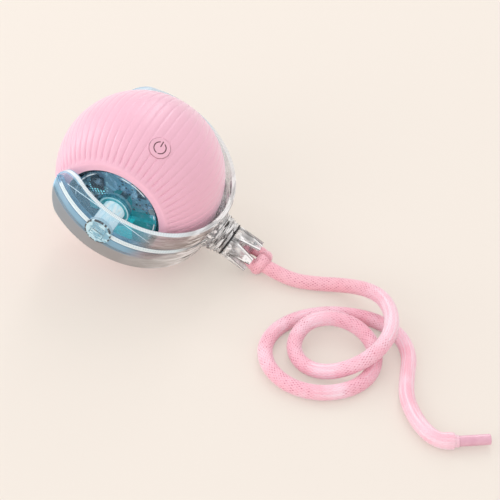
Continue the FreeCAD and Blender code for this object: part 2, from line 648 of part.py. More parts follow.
def switch_board(extra=0.0):
    """The small board under the switch, or the room that it needs, with extra on each side."""
    half, top = SWITCH_BOARD_SIDE / 2 + extra, SWITCH_BOARD_TOP + extra
    board = block(-half, half, -half, half, SWITCH_BOARD_TOP - SWITCH_BOARD_T - extra, top)
    return along(board, BUTTON_AIM, 0)


# Chassis, gearbox and what they carry

def idler_place():
    """Where the idler's axis lies: in reach of the axle's gear and of the motor's pinion."""
    span = math.hypot(MOTOR_X, MOTOR_Z)
    foot = (IDLER_REACH ** 2 - PINION_REACH ** 2 + span ** 2) / (2 * span)
    rise = math.sqrt(IDLER_REACH ** 2 - foot ** 2)
    ux, uz = MOTOR_X / span, MOTOR_Z / span
    return foot * ux + rise * uz, foot * uz - rise * ux


def plate_disc(y_from, thickness):
    """A round plate across the ball, whose rim fits inside the shells."""
    far_y = max(abs(y_from), abs(y_from + thickness))
    return y_rod(math.sqrt((SHELL_IN_R - CHASSIS_FIT) ** 2 - far_y ** 2), y_from, y_from + thickness)


def battery_clip(side):
    """One side wall and foot of the tray that holds the battery under the shelf."""
    inner = BATTERY_W / 2 + BATTERY_FIT
    low = BATTERY_TOP_Z - BATTERY_H - BATTERY_FIT
    y0, y1 = BATTERY_Y - CLIP_W / 2, BATTERY_Y + CLIP_W / 2
    wall = block(inner, inner + CLIP_T, y0, y1, low - CLIP_T, SHELF_Z)
    foot = block(inner - CLIP_FOOT, inner + CLIP_T, y0, y1, low - CLIP_T, low)
    clip = wall.fuse(foot)
    if side < 0:
        clip.rotate(V(0, 0, 0), V(0, 0, 1), 180)
        clip.translate(V(0, 2 * BATTERY_Y, 0))
    return clip


def switch_arm():
    """The arm from the gear plate that carries the switch's board under the button."""
    elbow = BUTTON_AIM * SWITCH_ARM_REACH
    bar = y_rod(POST_R, elbow.y, PLATE_Y + JOIN, elbow.x, elbow.z)
    stub = Part.makeCylinder(POST_R, SWITCH_BOARD_TOP - SWITCH_BOARD_T - SWITCH_ARM_REACH, elbow, BUTTON_AIM)
    return bar.fuse([stub, Part.makeSphere(POST_R, elbow)])


def chassis():
    """The moulded frame: gear plate, battery shelf with clips, board lugs and cover posts."""
    idler_x, idler_z = idler_place()
    frame = plate_disc(PLATE_Y, PLATE_T)
    frame = frame.fuse(block(-SHELF_HALF_W, SHELF_HALF_W, BOARD_BACK_Y, PLATE_Y + JOIN, SHELF_Z,
                             SHELF_Z + SHELF_T))
    frame = frame.fuse([battery_clip(-1), battery_clip(1)])
    for x, z in BOARD_SCREWS[:2]:
        frame = frame.fuse(block(x - POST_R, x + POST_R, BOARD_BACK_Y, BOARD_BACK_Y + LUG_T,
                                 SHELF_Z, z + POST_R))
    top_x, top_z = BOARD_SCREWS[2]
    frame = frame.fuse(y_rod(POST_R, BOARD_BACK_Y, PLATE_Y + JOIN, top_x, top_z))
    frame = frame.fuse([y_rod(POST_R, PLATE_BACK_Y - JOIN, COVER_Y, x, z) for x, z in COVER_POSTS])
    frame = frame.fuse(switch_arm())
    holes = [y_rod(AXLE_R + AXLE_CLEAR, 0, COVER_Y),
             y_rod(IDLER_PIN_R, 0, COVER_Y, idler_x, idler_z),
             y_rod(MOTOR_BOSS_R + KEY_FIT, 0, COVER_Y, MOTOR_X, MOTOR_Z)]
    holes += [y_rod(SCREW_R, COVER_Y - SCREW_BITE, COVER_Y, x, z) for x, z in COVER_POSTS]
    holes += [y_rod(SCREW_R, BOARD_Y, BOARD_BACK_Y + BOARD_SCREW_BITE, x, z) for x, z in BOARD_SCREWS]
    return one(at_centre(frame.cut(holes)))


def gearbox_cover():
    """The plate that closes the gears in, with the charging port's cradle on its back."""
    idler_x, idler_z = idler_place()
    half_w, half_h = PORT_W / 2 + CRADLE_WALL, PORT_H / 2 + CRADLE_WALL
    plate = y_rod(COVER_R, COVER_Y, COVER_BACK_Y)
    plate = plate.fuse(block(-half_w, half_w, COVER_Y, SHELL_IN_Y - CRADLE_GAP,
                             PORT_Z - half_h, PORT_Z + half_h))
    holes = [y_rod(AXLE_R + AXLE_CLEAR, 0, BALL_R),
             y_rod(IDLER_PIN_R, 0, BALL_R, idler_x, idler_z),
             y_rod(MOTOR_SHAFT_R + RUNNING_FIT, 0, BALL_R, MOTOR_X, MOTOR_Z)]
    holes += [y_rod(SCREW_R + KEY_FIT, 0, BALL_R, x, z) for x, z in COVER_POSTS]
    holes.append(port_outline(PORT_W / 2 + KEY_FIT, PORT_H / 2 + KEY_FIT, 0, BALL_R))
    return one(at_centre(plate.cut(holes)))


def port_outline(half_w, half_h, y_from, y_to):
    """A flat-sided slot with round ends, as the charging socket's mouth has."""
    straight = half_w - half_h
    body = block(-straight, straight, y_from, y_to, PORT_Z - half_h, PORT_Z + half_h)
    return body.fuse([y_rod(half_h, y_from, y_to, -straight, PORT_Z),
                      y_rod(half_h, y_from, y_to, straight, PORT_Z)])


def charge_socket():
    """The metal socket shell and its tongue, open to the ball's flat rear face."""
    half_w, half_h = PORT_W / 2, PORT_H / 2
    front = SHELL_FACE_Y - PORT_LENGTH
    can = port_outline(half_w, half_h, front, SHELL_FACE_Y)
    can = can.cut(port_outline(half_w - PORT_WALL, half_h - PORT_WALL, front + PORT_BACK, BALL_R))
    tongue = block(-TONGUE_W / 2, TONGUE_W / 2, front, SHELL_FACE_Y - TONGUE_BACK,
                   PORT_Z - TONGUE_T / 2, PORT_Z + TONGUE_T / 2)
    return one(at_centre(can.fuse(tongue)))


def screw(x, z, seat_y, out):
    """A pan-head screw along the axle's direction, with its head towards out."""
    if out > 0:
        shank = y_rod(SCREW_R, seat_y - SCREW_BITE, seat_y, x, z)
        head = y_rod(SCREW_HEAD_R, seat_y, seat_y + SCREW_HEAD_H, x, z)
    else:
        shank = y_rod(SCREW_R, seat_y, seat_y + BOARD_T + BOARD_SCREW_BITE, x, z)
        head = y_rod(SCREW_HEAD_R, seat_y - SCREW_HEAD_H, seat_y, x, z)
    return at_centre(one(shank.fuse(head)))


def gearbox_screws():
    return Part.makeCompound([screw(x, z, COVER_BACK_Y, 1) for x, z in COVER_POSTS])


def board_screws():
    return Part.makeCompound([screw(x, z, BOARD_Y, -1) for x, z in BOARD_SCREWS])


def motor():
    """A small can motor with two flats, its boss in the gear plate and its blind shaft bore."""
    rear = PLATE_Y - MOTOR_LENGTH
    can = y_rod(MOTOR_R, rear, PLATE_Y)
    can = can.common(block(-MOTOR_R, MOTOR_R, -BALL_R, BALL_R, -MOTOR_FLAT, MOTOR_FLAT))
    can = can.fuse(y_rod(MOTOR_BOSS_R, rear - MOTOR_END_H, PLATE_Y + MOTOR_BOSS_H))
    can = can.cut(y_rod(MOTOR_SHAFT_R + RUNNING_FIT, PLATE_Y - MOTOR_SHAFT_IN - JOIN, COVER_Y))
    can.translate(V(MOTOR_X, 0, MOTOR_Z))
    return one(at_centre(can))


def battery():
    """A flat rechargeable cell under the shelf, low in the ball."""
    cell = block(-BATTERY_W / 2, BATTERY_W / 2, BATTERY_START_Y, BATTERY_END_Y,
                 BATTERY_TOP_Z - BATTERY_H, BATTERY_TOP_Z)
    long_edges = [e for e in cell.Edges if abs(e.tangentAt(e.FirstParameter).y) > 0.9]
    return at_centre(cell.makeFillet(BATTERY_ROUND, long_edges))


def circuit_board():
    """The control board across the front of the ball, with rows of plated holes."""
    board = y_rod(BOARD_R, BOARD_Y, BOARD_BACK_Y)
    board = board.cut(block(-BALL_R, BALL_R, -BALL_R, BALL_R, -BALL_R, BOARD_LOW_Z))
    holes = [y_rod(BOARD_HUB_R, BOARD_Y - 1, 0)]
    holes += [y_rod(SCREW_R + KEY_FIT, BOARD_Y - 1, 0, x, z) for x, z in BOARD_SCREWS]
    for row in range(VIA_ROWS):
        for column in range(VIA_COLUMNS):
            place = VIA_START + V(column * VIA_PITCH, BOARD_Y - 1, row * VIA_PITCH)
            corners = [place + V(VIA_R * math.cos(k * math.pi / 3), 0, VIA_R * math.sin(k * math.pi / 3))
                       for k in range(7)]
            holes.append(Part.Face(Part.makePolygon(corners)).extrude(V(0, BALL_R, 0)))
    return one(at_centre(board.cut(holes)).cut(switch_board(BOARD_NOTCH)))


def board_chips():
    """The chips and the plug header on the front of the board."""
    chips = [block(x - half_w, x + half_w, BOARD_Y - tall, BOARD_Y, z - half_h, z + half_h)
             for x, z, half_w, half_h, tall in CHIPS]
    return at_centre(Part.makeCompound(chips))


def board_leds():
    """Two small lamps on the front of the board."""
    return at_centre(Part.makeCompound([y_rod(LAMP_R, BOARD_Y - LAMP_H, BOARD_Y, x, z) for x, z in LAMPS]))


# Gears

def gear_outline(teeth, phase):
    """The outline of an involute gear with straight-sided roots, as a closed list of points."""
    pitch_r = teeth * MODULE / 2
    base_r = pitch_r * math.cos(math.radians(PRESSURE_ANGLE))
    tip_r, root_r = pitch_r + MODULE * TOOTH_TIP, pitch_r - MODULE * TOOTH_ROOT
    low_r = max(base_r, root_r)

    def spread(radius):
        if radius <= base_r:
            return 0.0
        cosine = base_r / radius
        angle = math.acos(cosine)
        return math.tan(angle) - angle

    half_pitch = (math.pi / 2 - BACKLASH / MODULE) / teeth
    flank = [low_r + (tip_r - low_r) * k / FLANK_STEPS for k in range(FLANK_STEPS + 1)]
    points = []
    for k in range(teeth):
        middle = phase + 2 * math.pi * k / teeth
        half = [half_pitch + spread(pitch_r) - spread(r) for r in flank]
        side = [(root_r, half[0])] + list(zip(flank, half))
        side = side if root_r < base_r else list(zip(flank, half))
        points += [(r, middle - a) for r, a in side]
        points += [(r, middle + a) for r, a in reversed(side)]
    return points


def gear(teeth, phase, x, z, y_from, thickness):
    """A spur gear as an extruded outline along the axle's direction."""
    corners = [V(r * math.sin(a), 0, r * math.cos(a)) for r, a in gear_outline(teeth, phase)]
    face = Part.Face(Part.makePolygon(corners + corners[:1]))
    body = face.extrude(V(0, thickness, 0))
    body.translate(V(x, y_from, z))
    return body


def mesh_phase(driver_teeth, driver_phase, driven_teeth, dx, dz):
    """The phase that puts a gap of the driven gear over a tooth of its driver."""
    toward = math.atan2(dx, dz)
    driver_turn = (toward - driver_phase) * driver_teeth
    return toward + math.pi + (driver_turn + math.pi) / driven_teeth


def axle_gear():
    """The gear fixed on the axle, which the motor walks the ball round."""
    body = gear(AXLE_TEETH, 0.0, 0, 0, GEAR_Y, GEAR_T)
    body = body.fuse(y_rod(GEAR_HUB_R, GEAR_Y + JOIN, COVER_Y - GEAR_GAP))
    return one(at_centre(body.cut(y_rod(AXLE_R + KEY_FIT, 0, COVER_Y))))


def idler_gear():
    """The double gear between the motor's pinion and the axle's gear."""
    x, z = idler_place()
    small_phase = mesh_phase(AXLE_TEETH, 0.0, IDLER_SMALL, x, z)
    body = gear(IDLER_SMALL, small_phase, x, z, GEAR_Y, GEAR_T + GEAR_GAP)
    body = body.fuse(gear(IDLER_LARGE, small_phase, x, z, SECOND_GEAR_Y, GEAR_T))
    return one(at_centre(body.cut(y_rod(IDLER_PIN_R + RUNNING_FIT, 0, COVER_Y, x, z))))


def idler_pin():
    x, z = idler_place()
    return at_centre(y_rod(IDLER_PIN_R, PLATE_Y, COVER_BACK_Y, x, z))


def motor_pinion():
    """The pinion and the motor's shaft in one piece, up to its end bearing in the cover."""
    x, z = idler_place()
    idler_phase = mesh_phase(AXLE_TEETH, 0.0, IDLER_SMALL, x, z)
    phase = mesh_phase(IDLER_LARGE, idler_phase, PINION_TEETH, MOTOR_X - x, MOTOR_Z - z)
    body = gear(PINION_TEETH, phase, MOTOR_X, MOTOR_Z, SECOND_GEAR_Y, GEAR_T)
    shaft = y_rod(MOTOR_SHAFT_R, PLATE_Y - MOTOR_SHAFT_IN, COVER_BACK_Y, MOTOR_X, MOTOR_Z)
    return one(at_centre(body.fuse(shaft)))


# Cord tail

def corner_radius(before, corner, after):
    """The largest arc that the two runs at a corner allow, and the turn there in degrees."""
    first, second = corner - before, after - corner
    turn = first.getAngle(second)
    return 0.45 * min(first.Length, second.Length) / math.tan(turn / 2), math.degrees(turn)


def round_wire(points):
    """Straight runs through the points, joined by tangent arcs."""
    edges, start = [], points[0]
    for before, corner, after in zip(points, points[1:], points[2:]):
        radius, turn = corner_radius(before, corner, after)
        cut = radius * math.tan(math.radians(turn) / 2)
        into, out = (corner - before).normalize(), (after - corner).normalize()
        first, last = corner - into * cut, corner + out * cut
        inward = (out - into).normalize()
        middle = corner + inward * (radius / math.cos(math.radians(turn) / 2) - radius)
        edges.append(Part.LineSegment(start, first).toShape())
        edges.append(Part.Arc(first, middle, last).toShape())
        start = last
    edges.append(Part.LineSegment(start, points[-1]).toShape())
    return Part.Wire(edges)


def tube(points, radius):
    """A round cord along a route of straight runs and tangent arcs."""
    path = round_wire(points)
    section = Part.Wire(Part.makeCircle(radius, points[0], points[1] - points[0]))
    return path, path.makePipeShell([section], True, False)


def report_cord(path, solid, radius):
    """Prints the cord's arcs, its volume against its length, and its least gap to itself."""
    radii = [corner_radius(*three)[0] for three in zip(CORD_ROUTE, CORD_ROUTE[1:], CORD_ROUTE[2:])]
    turns = [corner_radius(*three)[1] for three in zip(CORD_ROUTE, CORD_ROUTE[1:], CORD_ROUTE[2:])]
    print("cord radii mm:", " ".join(f"{r:.1f}" for r in radii), " greatest turn", round(max(turns), 1))
    print(f"cord length {path.Length:.1f} mm, volume over section times length "
          f"{solid.Volume / (math.pi * radius ** 2 * path.Length):.5f}")
    spots = path.discretize(Distance=MEASURE_STEP)
    apart = int(4 * CORD_D / MEASURE_STEP)
    least = min(spots[i].distanceToPoint(spots[j])
                for i in range(len(spots)) for j in range(i + apart, len(spots)))
    print(f"cord's least gap to itself {least - 2 * radius:.2f} mm")


def tail_cord():
    """The whole free cord: off the knot, over its own two loops and out to its tip."""
    path, solid = tube(CORD_ROUTE, CORD_D / 2)
    report_cord(path, solid, CORD_D / 2)
    return solid


def cord_pin():
    """The cross pin through two facing prongs of the cap, which holds the cord's bight."""
    return in_bracket(Part.makeCylinder(CORD_PIN_R, 2 * CAP_R, V(CORD_PIN_X, 0, -CAP_R)))


def cord_knot():
    """The cord's doubled end round the pin in the cap, and the wrap that ties it."""
    spread = LEG_R + CORD_PIN_R + CORD_PIN_FIT
    legs = [x_rod(LEG_R, CORD_PIN_X, KNOT_X, side * spread, 0) for side in (-1, 1)]
    bight = Part.makeTorus(spread, LEG_R, V(CORD_PIN_X, 0, 0), V(0, 0, 1))
    legs.append(bight.common(block(0, CORD_PIN_X, -CAP_R, CAP_R, -CAP_R, CAP_R)))
    wrap = Part.makeTorus(WRAP_R, WRAP_CORD_R, V(KNOT_X, 0, 0), V(1, 0, 0))
    knot = in_bracket(legs[0].fuse(legs[1:] + [wrap]))
    out = (CORD_ROUTE[1] - CORD_EXIT).normalize()
    stub = Part.makeCylinder(CORD_D / 2, STUB_LENGTH, CORD_EXIT - out * STUB_LENGTH, out)
    return one(knot.fuse(stub))


def cord_tip():
    """The slim moulded tip on the cord's free end."""
    end = CORD_ROUTE[-1]
    out = (end - CORD_ROUTE[-2]).normalize()
    tip = Part.makeCylinder(TIP_R, TIP_LENGTH, end, out)
    far = [e for e in tip.Edges if isinstance(e.Curve, Part.Circle)
           and e.Curve.Center.distanceToPoint(end) > TIP_LENGTH / 2]
    return tip.makeFillet(TIP_ROUND, far)


NODES = {
    "silicone_sleeve": silicone_sleeve,
    "front_shell": front_shell,
    "rear_shell": rear_shell,
    "front_bush": lambda: bush(-1),
    "rear_bush": lambda: bush(1),
    "chassis": chassis,
    "gearbox_cover": gearbox_cover,
    "gearbox_screws": gearbox_screws,
    "motor": motor,
    "battery": battery,
    "circuit_board": circuit_board,
    "board_screws": board_screws,
    "board_chips": board_chips,
    "board_leds": board_leds,
    "charge_socket": charge_socket,
    "idler_pin": idler_pin,
    "tact_switch": tact_switch,
    "switch_board": switch_board,
    "power_button": power_button,
    "idler_gear": idler_gear,
    "motor_pinion": motor_pinion,
    "axle": axle,
    "axle_gear": axle_gear,
    "front_pivot_pin": lambda: pivot_pin(-1),
    "rear_pivot_pin": lambda: pivot_pin(1),
    "bracket_upper": lambda: bracket_half(True),
    "bracket_lower": lambda: bracket_half(False),
    "neck_nut": neck_nut,
    "neck_seal": neck_seal,
    "swivel_screw": swivel_screw,
    "swivel_cap": swivel_cap,
    "cord_pin": cord_pin,
    "cord_knot": cord_knot,
    "tail_cord": tail_cord,
    "cord_tip": cord_tip,
}

os.makedirs("parts", exist_ok=True)
for name, build in NODES.items():
    shape = build()
    if not shape.isValid():
        print("not valid:", name)
    shape.exportStep(os.path.join("parts", name + ".step"))
    print(f"{name}: {len(shape.Solids)} solid, {len(shape.Faces)} faces, {shape.Volume:.1f} mm3")
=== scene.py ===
"""Looks of the self-rolling cat ball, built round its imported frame.

The ribbed sleeve, the knot and the braided tail are modelled here. All other pieces are the
frame's own, with finishes that follow their shapes. Plain numbers are millimetres.
"""

import math

import bmesh
import bpy
import numpy as np
from bpy.props import FloatProperty, FloatVectorProperty, IntProperty, PointerProperty
from mathutils import Matrix, Vector


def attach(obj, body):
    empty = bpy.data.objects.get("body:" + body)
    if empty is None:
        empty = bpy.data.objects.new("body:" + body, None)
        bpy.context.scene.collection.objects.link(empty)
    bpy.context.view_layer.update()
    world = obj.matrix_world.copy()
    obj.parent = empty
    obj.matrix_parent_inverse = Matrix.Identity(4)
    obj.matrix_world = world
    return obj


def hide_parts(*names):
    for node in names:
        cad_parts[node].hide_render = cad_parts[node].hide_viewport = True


bl_info = {
    "name": "Self-Rolling Cat Ball",
    "version": (1, 0, 0),
    "blender": (4, 5, 0),
    "location": "3D View > Sidebar > Cat Ball",
    "description": "Dresses the frame of a self-rolling cat ball: sleeve, knot, tail and finishes",
    "category": "Object",
}

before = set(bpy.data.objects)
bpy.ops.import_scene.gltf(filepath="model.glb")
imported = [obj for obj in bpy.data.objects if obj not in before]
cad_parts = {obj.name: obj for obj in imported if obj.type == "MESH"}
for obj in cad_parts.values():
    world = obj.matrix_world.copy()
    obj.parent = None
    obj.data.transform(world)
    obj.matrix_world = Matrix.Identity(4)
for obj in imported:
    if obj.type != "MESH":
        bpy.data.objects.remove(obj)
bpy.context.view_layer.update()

MM = 0.001
CENTRE = Vector((0, 0, 30 * MM))
NECK_TILT = math.radians(28.5)
IN_BRACKET = Matrix.Translation(CENTRE) @ Matrix.Rotation(NECK_TILT, 4, "Y")
ALONG_NECK = (IN_BRACKET.to_3x3() @ Vector((1, 0, 0))).normalized()
ALONG_AXLE = Vector((0, 1, 0))
BRACKET_UP = (IN_BRACKET.to_3x3() @ Vector((0, 0, 1))).normalized()
BUTTON_AIM = Vector((0.461, -0.360, 0.811)).normalized()

BALL_R = 30.0
FACE_Y = 22.1
OUTER_EDGE = math.sqrt(BALL_R ** 2 - FACE_Y ** 2)
WINDOW_R = 17.5
INNER_R = 27.9
INNER_Y = 20.4
INNER_EDGE = math.sqrt(INNER_R ** 2 - INNER_Y ** 2)
BUTTON_HOLE_R = 3.8
PARTING_A = 1.0
BAND_HALF_W = 10.3
BAND_OUT_R = 32.7
END_AIM = math.radians(43.5) - BAND_HALF_W / BAND_OUT_R
WEB_EDGE_Y = 24.2
PIN_FACE_Y = 33.1
NUT_X = 34.02
THREAD_PITCH = 1.15
CAP_X = 39.32
CAP_END_X = 49.52
PRONG_COUNT = 6
NOTCH_DEPTH = 7.6
HOLE_PITCH = 1.25               # between the holes of the board
HATCH_PITCH = 0.62              # between the fine lines on the bracket's frosted rim
WINDOW_ROUND = 0.55             # rounding of the sleeve's edge at the window
RING_ROUND = 0.5                # rounding between the flat ring and the ribs
RIB_START = 1.1                 # degrees from the ring to the first trace of a rib
RIB_RISE = 4.2                  # degrees over which a rib reaches its depth
SQUEEZE = 0.35                  # how much thinner the cord is in the crown
SEWN_END = 3.0                  # from the cord's end back to its fullest place
SEWN_LENGTH = 1.6

# The bight that goes round the cap's pin, and the wrap round it, in the bracket's frame
BIGHT_ROUTE = [
    (53.2, 1.2, 1.9), (51.6, 2.2, 1.9), (49.8, 2.4, 1.1), (48.2, 2.4, 0.4), (46.8, 2.2, 0.0),
    (45.7, 0.0, 0.0), (46.8, -2.2, 0.0), (48.2, -2.4, -0.2), (49.8, -2.4, -0.6),
    (51.6, -2.4, -1.1), (53.2, -1.4, -1.4),
]
WRAP_ROUTE = [(52.9 + 0.35 * math.sin(a), 2.7 * math.sin(a), 2.9 * math.cos(a))
              for a in (math.radians(step) for step in range(0, 361, 40))]

CORD_ROUTE = [
    (50.4, -1.1, 4.0), (58.2, -2.3, 2.65), (68.0, -0.4, 2.65), (77.4, 1.8, 3.7),
    (86.6, -0.5, 7.3), (94.6, -5.9, 10.6), (100.3, -13.4, 11.1), (102.6, -22.2, 11.1),
    (100.8, -30.8, 9.8), (94.2, -37.0, 6.0), (85.4, -40.4, 3.2), (76.6, -38.6, 2.65),
    (71.2, -31.6, 3.3), (72.6, -23.3, 6.2), (79.6, -18.4, 7.4), (88.2, -17.0, 5.8),
    (95.6, -19.8, 3.4), (99.9, -27.0, 2.65), (100.6, -35.8, 2.65), (96.2, -43.6, 2.65),
    (88.0, -48.8, 2.65), (78.2, -49.7, 2.65), (69.0, -45.6, 2.65), (63.2, -37.8, 2.65),
    (62.7, -28.4, 2.65), (67.2, -19.9, 2.65), (75.0, -13.4, 2.65), (84.6, -10.0, 2.65),
    (94.6, -9.4, 2.65), (103.6, -13.0, 2.65), (109.6, -20.8, 2.65), (111.8, -30.2, 2.65),
    (114.4, -38.6, 2.65), (118.8, -44.8, 2.65), (123.4, -49.2, 2.65), (127.9, -51.9, 2.65),
    (132.2, -52.2, 2.65), (136.0, -50.2, 2.65),
]
CORD_LENGTH = 322.5

# The stage, in metres
KEY_PLACE = (-0.38, -0.92, 0.60)
STRIP_PLACES = {"left strip": (-0.85, 0.05, 0.30), "top strip": (-0.10, 0.70, 0.70)}
LAMPS_AIM = (0.03, 0, 0.02)
CAMERA_PLACE = (0.20319, -0.37349, 0.37888)
CAMERA_TURN = (math.radians(90 - 42.27), 0, math.radians(23.328))
CAMERA_LENS = 111.458           # on a sensor 36 mm wide
BACKDROP = (0.905, 0.823, 0.745)


# Sizes and colours that a user may change

class SleeveSettings(bpy.types.PropertyGroup):
    rib_count: IntProperty(name="Ribs", description="Scalloped ribs round the axle", default=60,
                           min=12)
    rib_depth: FloatProperty(name="Rib depth", description="Depth of the grooves beside the window",
                             default=0.70 * MM, unit="LENGTH")
    rib_depth_middle: FloatProperty(name="Rib depth in the middle",
                                    description="Depth of the grooves halfway between the windows",
                                    default=0.15 * MM, unit="LENGTH")
    steps_per_rib: IntProperty(name="Steps", description="Steps of the mesh across one rib",
                               default=16)
    colour: FloatVectorProperty(name="Silicone", description="Colour of the sleeve",
                                subtype="COLOR", default=(0.835, 0.462, 0.578), size=3, min=0,
                                max=1)


class CordSettings(bpy.types.PropertyGroup):
    diameter: FloatProperty(name="Cord", description="Diameter of the braided cord",
                            default=5.2 * MM, unit="LENGTH")
    strands: IntProperty(name="Strands", description="Strands counted round the braid", default=16)
    pitch: FloatProperty(name="Braid pitch", description="Length of one crossing of the braid",
                         default=1.6 * MM, unit="LENGTH")
    relief: FloatProperty(name="Braid relief", description="Height of the strands over the pits",
                          default=0.13 * MM, unit="LENGTH")
    colour: FloatVectorProperty(name="Yarn", description="Colour of the braid", subtype="COLOR",
                                default=(0.93, 0.56, 0.66), size=3, min=0, max=1)
    # painted shade: the colour that darkens the pits between the strands
    pit_shade_colour: FloatVectorProperty(name="Pits", description="Colour between the strands",
                                    subtype="COLOR", default=(0.60, 0.19, 0.27), size=3, min=0,
                                    max=1)


class StageSettings(bpy.types.PropertyGroup):
    floor: FloatVectorProperty(name="Floor", description="Colour of the floor", subtype="COLOR",
                               default=(0.845, 0.774, 0.705), size=3, min=0, max=1)
    key: FloatProperty(name="Key light", description="Power of the large soft light", default=2.6,
                       unit="POWER")
    strips: FloatProperty(name="Strip lights", description="Power of each of the two narrow lights",
                          default=1.9, unit="POWER")
    world: FloatProperty(name="Fill", description="Strength of the light from all round",
                         default=0.95)


# Shader maths

class Wire:
    """A socket that Python's operators work on: each one adds the Math node it needs."""

    def __init__(self, nodes, socket):
        self.nodes, self.socket = nodes, socket

    def math(self, operation, *others, clamp=False):
        return self.nodes.node("ShaderNodeMath", {"operation": operation, "use_clamp": clamp},
                               [self, *others])

    def __add__(self, other):
        return self.math("ADD", other)

    def __sub__(self, other):
        return self.math("SUBTRACT", other)

    def __mul__(self, other):
        return self.math("MULTIPLY", other)

    def __truediv__(self, other):
        return self.math("DIVIDE", other)

    def __pow__(self, other):
        return self.math("POWER", other)

    def __radd__(self, other):
        return self.math("ADD", other)

    def __rmul__(self, other):
        return self.math("MULTIPLY", other)

    def __rsub__(self, other):
        return self.nodes.node("ShaderNodeMath", {"operation": "SUBTRACT"}, [other, self])

    def clamped(self):
        return self.math("MULTIPLY", 1.0, clamp=True)

    def absolute(self):
        return self.math("ABSOLUTE")

    def band(self, low, high, soft):
        """1 between low and high and 0 outside, with soft edges."""
        return self.ramp(low - soft, low + soft) * self.ramp(high + soft, high - soft)

    def ramp(self, low, high):
        """0 below low, 1 above high and smooth between; low may be the larger one."""
        if low > high:
            return 1 - self.ramp(high, low)
        return self.nodes.node("ShaderNodeMapRange", {"interpolation_type": "SMOOTHSTEP"},
                               [self, low, high, 0.0, 1.0])


class NodeTree:
    """The nodes of a material or a world being made, with one method that adds any node."""

    def __init__(self, tree, output):
        self.tree = tree
        tree.nodes.clear()
        self.output = tree.nodes.new(output)

    def plug(self, socket, value):
        if isinstance(value, Wire):
            self.tree.links.new(value.socket, socket)
        elif hasattr(value, "__len__") and socket.type == "RGBA" and len(value) == 3:
            socket.default_value = (*value, 1)
        else:
            socket.default_value = value

    def node(self, kind, settings=None, inputs=(), output=0):
        made = self.tree.nodes.new(kind)
        for key, value in (settings or {}).items():
            if key == "stops":
                for element, (place, colour) in zip(made.color_ramp.elements, value):
                    element.position, element.color = place, (*colour, 1)
            else:
                setattr(made, key, value)
        pairs = inputs.items() if isinstance(inputs, dict) else enumerate(inputs)
        for key, value in pairs:
            self.plug(made.inputs[key], value)
        return Wire(self, made.outputs[output])

    def show(self, shader):
        """Makes a shader the one that the output shows."""
        self.plug(self.output.inputs["Surface"], shader)


class Finish(NodeTree):
    """A material being made round one shader."""

    def __init__(self, name, **constants):
        self.material = bpy.data.materials.new(name)
        self.material.use_nodes = True
        super().__init__(self.material.node_tree, "ShaderNodeOutputMaterial")
        self.shader = self.node("ShaderNodeBsdfPrincipled")
        self.show(self.shader)
        for key, value in constants.items():
            self.set(key.replace("_", " "), value)

    def set(self, name, value):
        """Gives one socket of the shader a constant or a wire."""
        self.plug(self.shader.socket.node.inputs[name], value)

    def place(self):
        """Object coordinates, in metres."""
        return self.node("ShaderNodeTexCoord", output="Object")

    def vector(self, operation, *inputs, output=0):
        return self.node("ShaderNodeVectorMath", {"operation": operation}, inputs, output)

    def from_centre(self):
        return self.vector("SUBTRACT", self.place(), tuple(CENTRE))

    def along(self, direction):
        """How far a point lies from the ball's centre in a direction, in millimetres."""
        return self.vector("DOT_PRODUCT", self.from_centre(), tuple(direction), output="Value") / MM

    def reach(self, axis):
        """How far a point lies from an axis through the ball's centre, in millimetres."""
        return self.vector("LENGTH", self.vector("CROSS_PRODUCT", self.from_centre(), tuple(axis)),
                           output="Value") / MM

    def facing(self):
        """0 where the surface is seen head-on, towards 1 where it is seen edge-on."""
        return self.node("ShaderNodeLayerWeight", {}, [0.5], "Facing")

    def pattern(self, *steps, detail=2.0, distortion=0.0):
        """Fractal noise over up to three numbers, with grains about one whole step long."""
        spread = self.node("ShaderNodeCombineXYZ", {}, steps)
        return self.node("ShaderNodeTexNoise", {}, {"Vector": spread, "Scale": 1.0,
                                                    "Detail": detail, "Distortion": distortion},
                         "Fac")

    def around(self, axis, first, turns):
        """Two numbers that run round an axis without a seam, for a pattern."""
        reach = self.reach(axis)
        second = Vector(axis).cross(Vector(first))
        return (self.along(first) / reach * turns, self.along(second) / reach * turns)

    def noise(self, size, detail=2.0, roughness=0.5, at=None):
        """Fractal noise between 0 and 1, whose largest grains are so many millimetres."""
        return self.node("ShaderNodeTexNoise", {},
                         {"Vector": at or self.place(), "Scale": 1 / (size * MM),
                          "Detail": detail, "Roughness": roughness}, "Fac")

    def mix(self, share, first, second):
        """A colour between two colours."""
        return self.node("ShaderNodeMix", {"data_type": "RGBA"}, {0: share, 6: first, 7: second}, 2)

    def bump(self, height, strength, distance):
        self.set("Normal", self.node("ShaderNodeBump", {}, {"Strength": strength,
                                                            "Distance": distance * MM,
                                                            "Height": height}))

    def see_through(self, share, colour):
        """Mixes the shader with plain tinted transparency; share is how much of it shows."""
        clear = self.node("ShaderNodeBsdfTransparent", {}, [colour])
        self.show(self.node("ShaderNodeMixShader", {}, [share.clamped(), clear, self.shader]))

    def on(self, *objects):
        for obj in objects:
            obj.data.materials.clear()
            obj.data.materials.append(self.material)


# Modelling helpers

def deselect():
    bpy.ops.object.select_all(action="DESELECT")


def start_line(name, point):
    """A new mesh of a single vertex, in edit mode with that vertex selected."""
    deselect()
    bpy.ops.mesh.primitive_circle_add(vertices=3, radius=MM, location=point)
    obj = bpy.context.object
    obj.name = obj.data.name = name
    bpy.ops.object.transform_apply(location=True, rotation=True, scale=True)
    bpy.ops.object.mode_set(mode="EDIT")
    bpy.ops.mesh.select_all(action="SELECT")
    bpy.ops.mesh.merge(type="CENTER")
    return obj


def draw_to(*steps):
    """Draws straight lines on from the selected vertex; each step is how far to go."""
    for step in steps:
        bpy.ops.mesh.extrude_region_move(TRANSFORM_OT_translate={"value": tuple(Vector(step) * MM)})


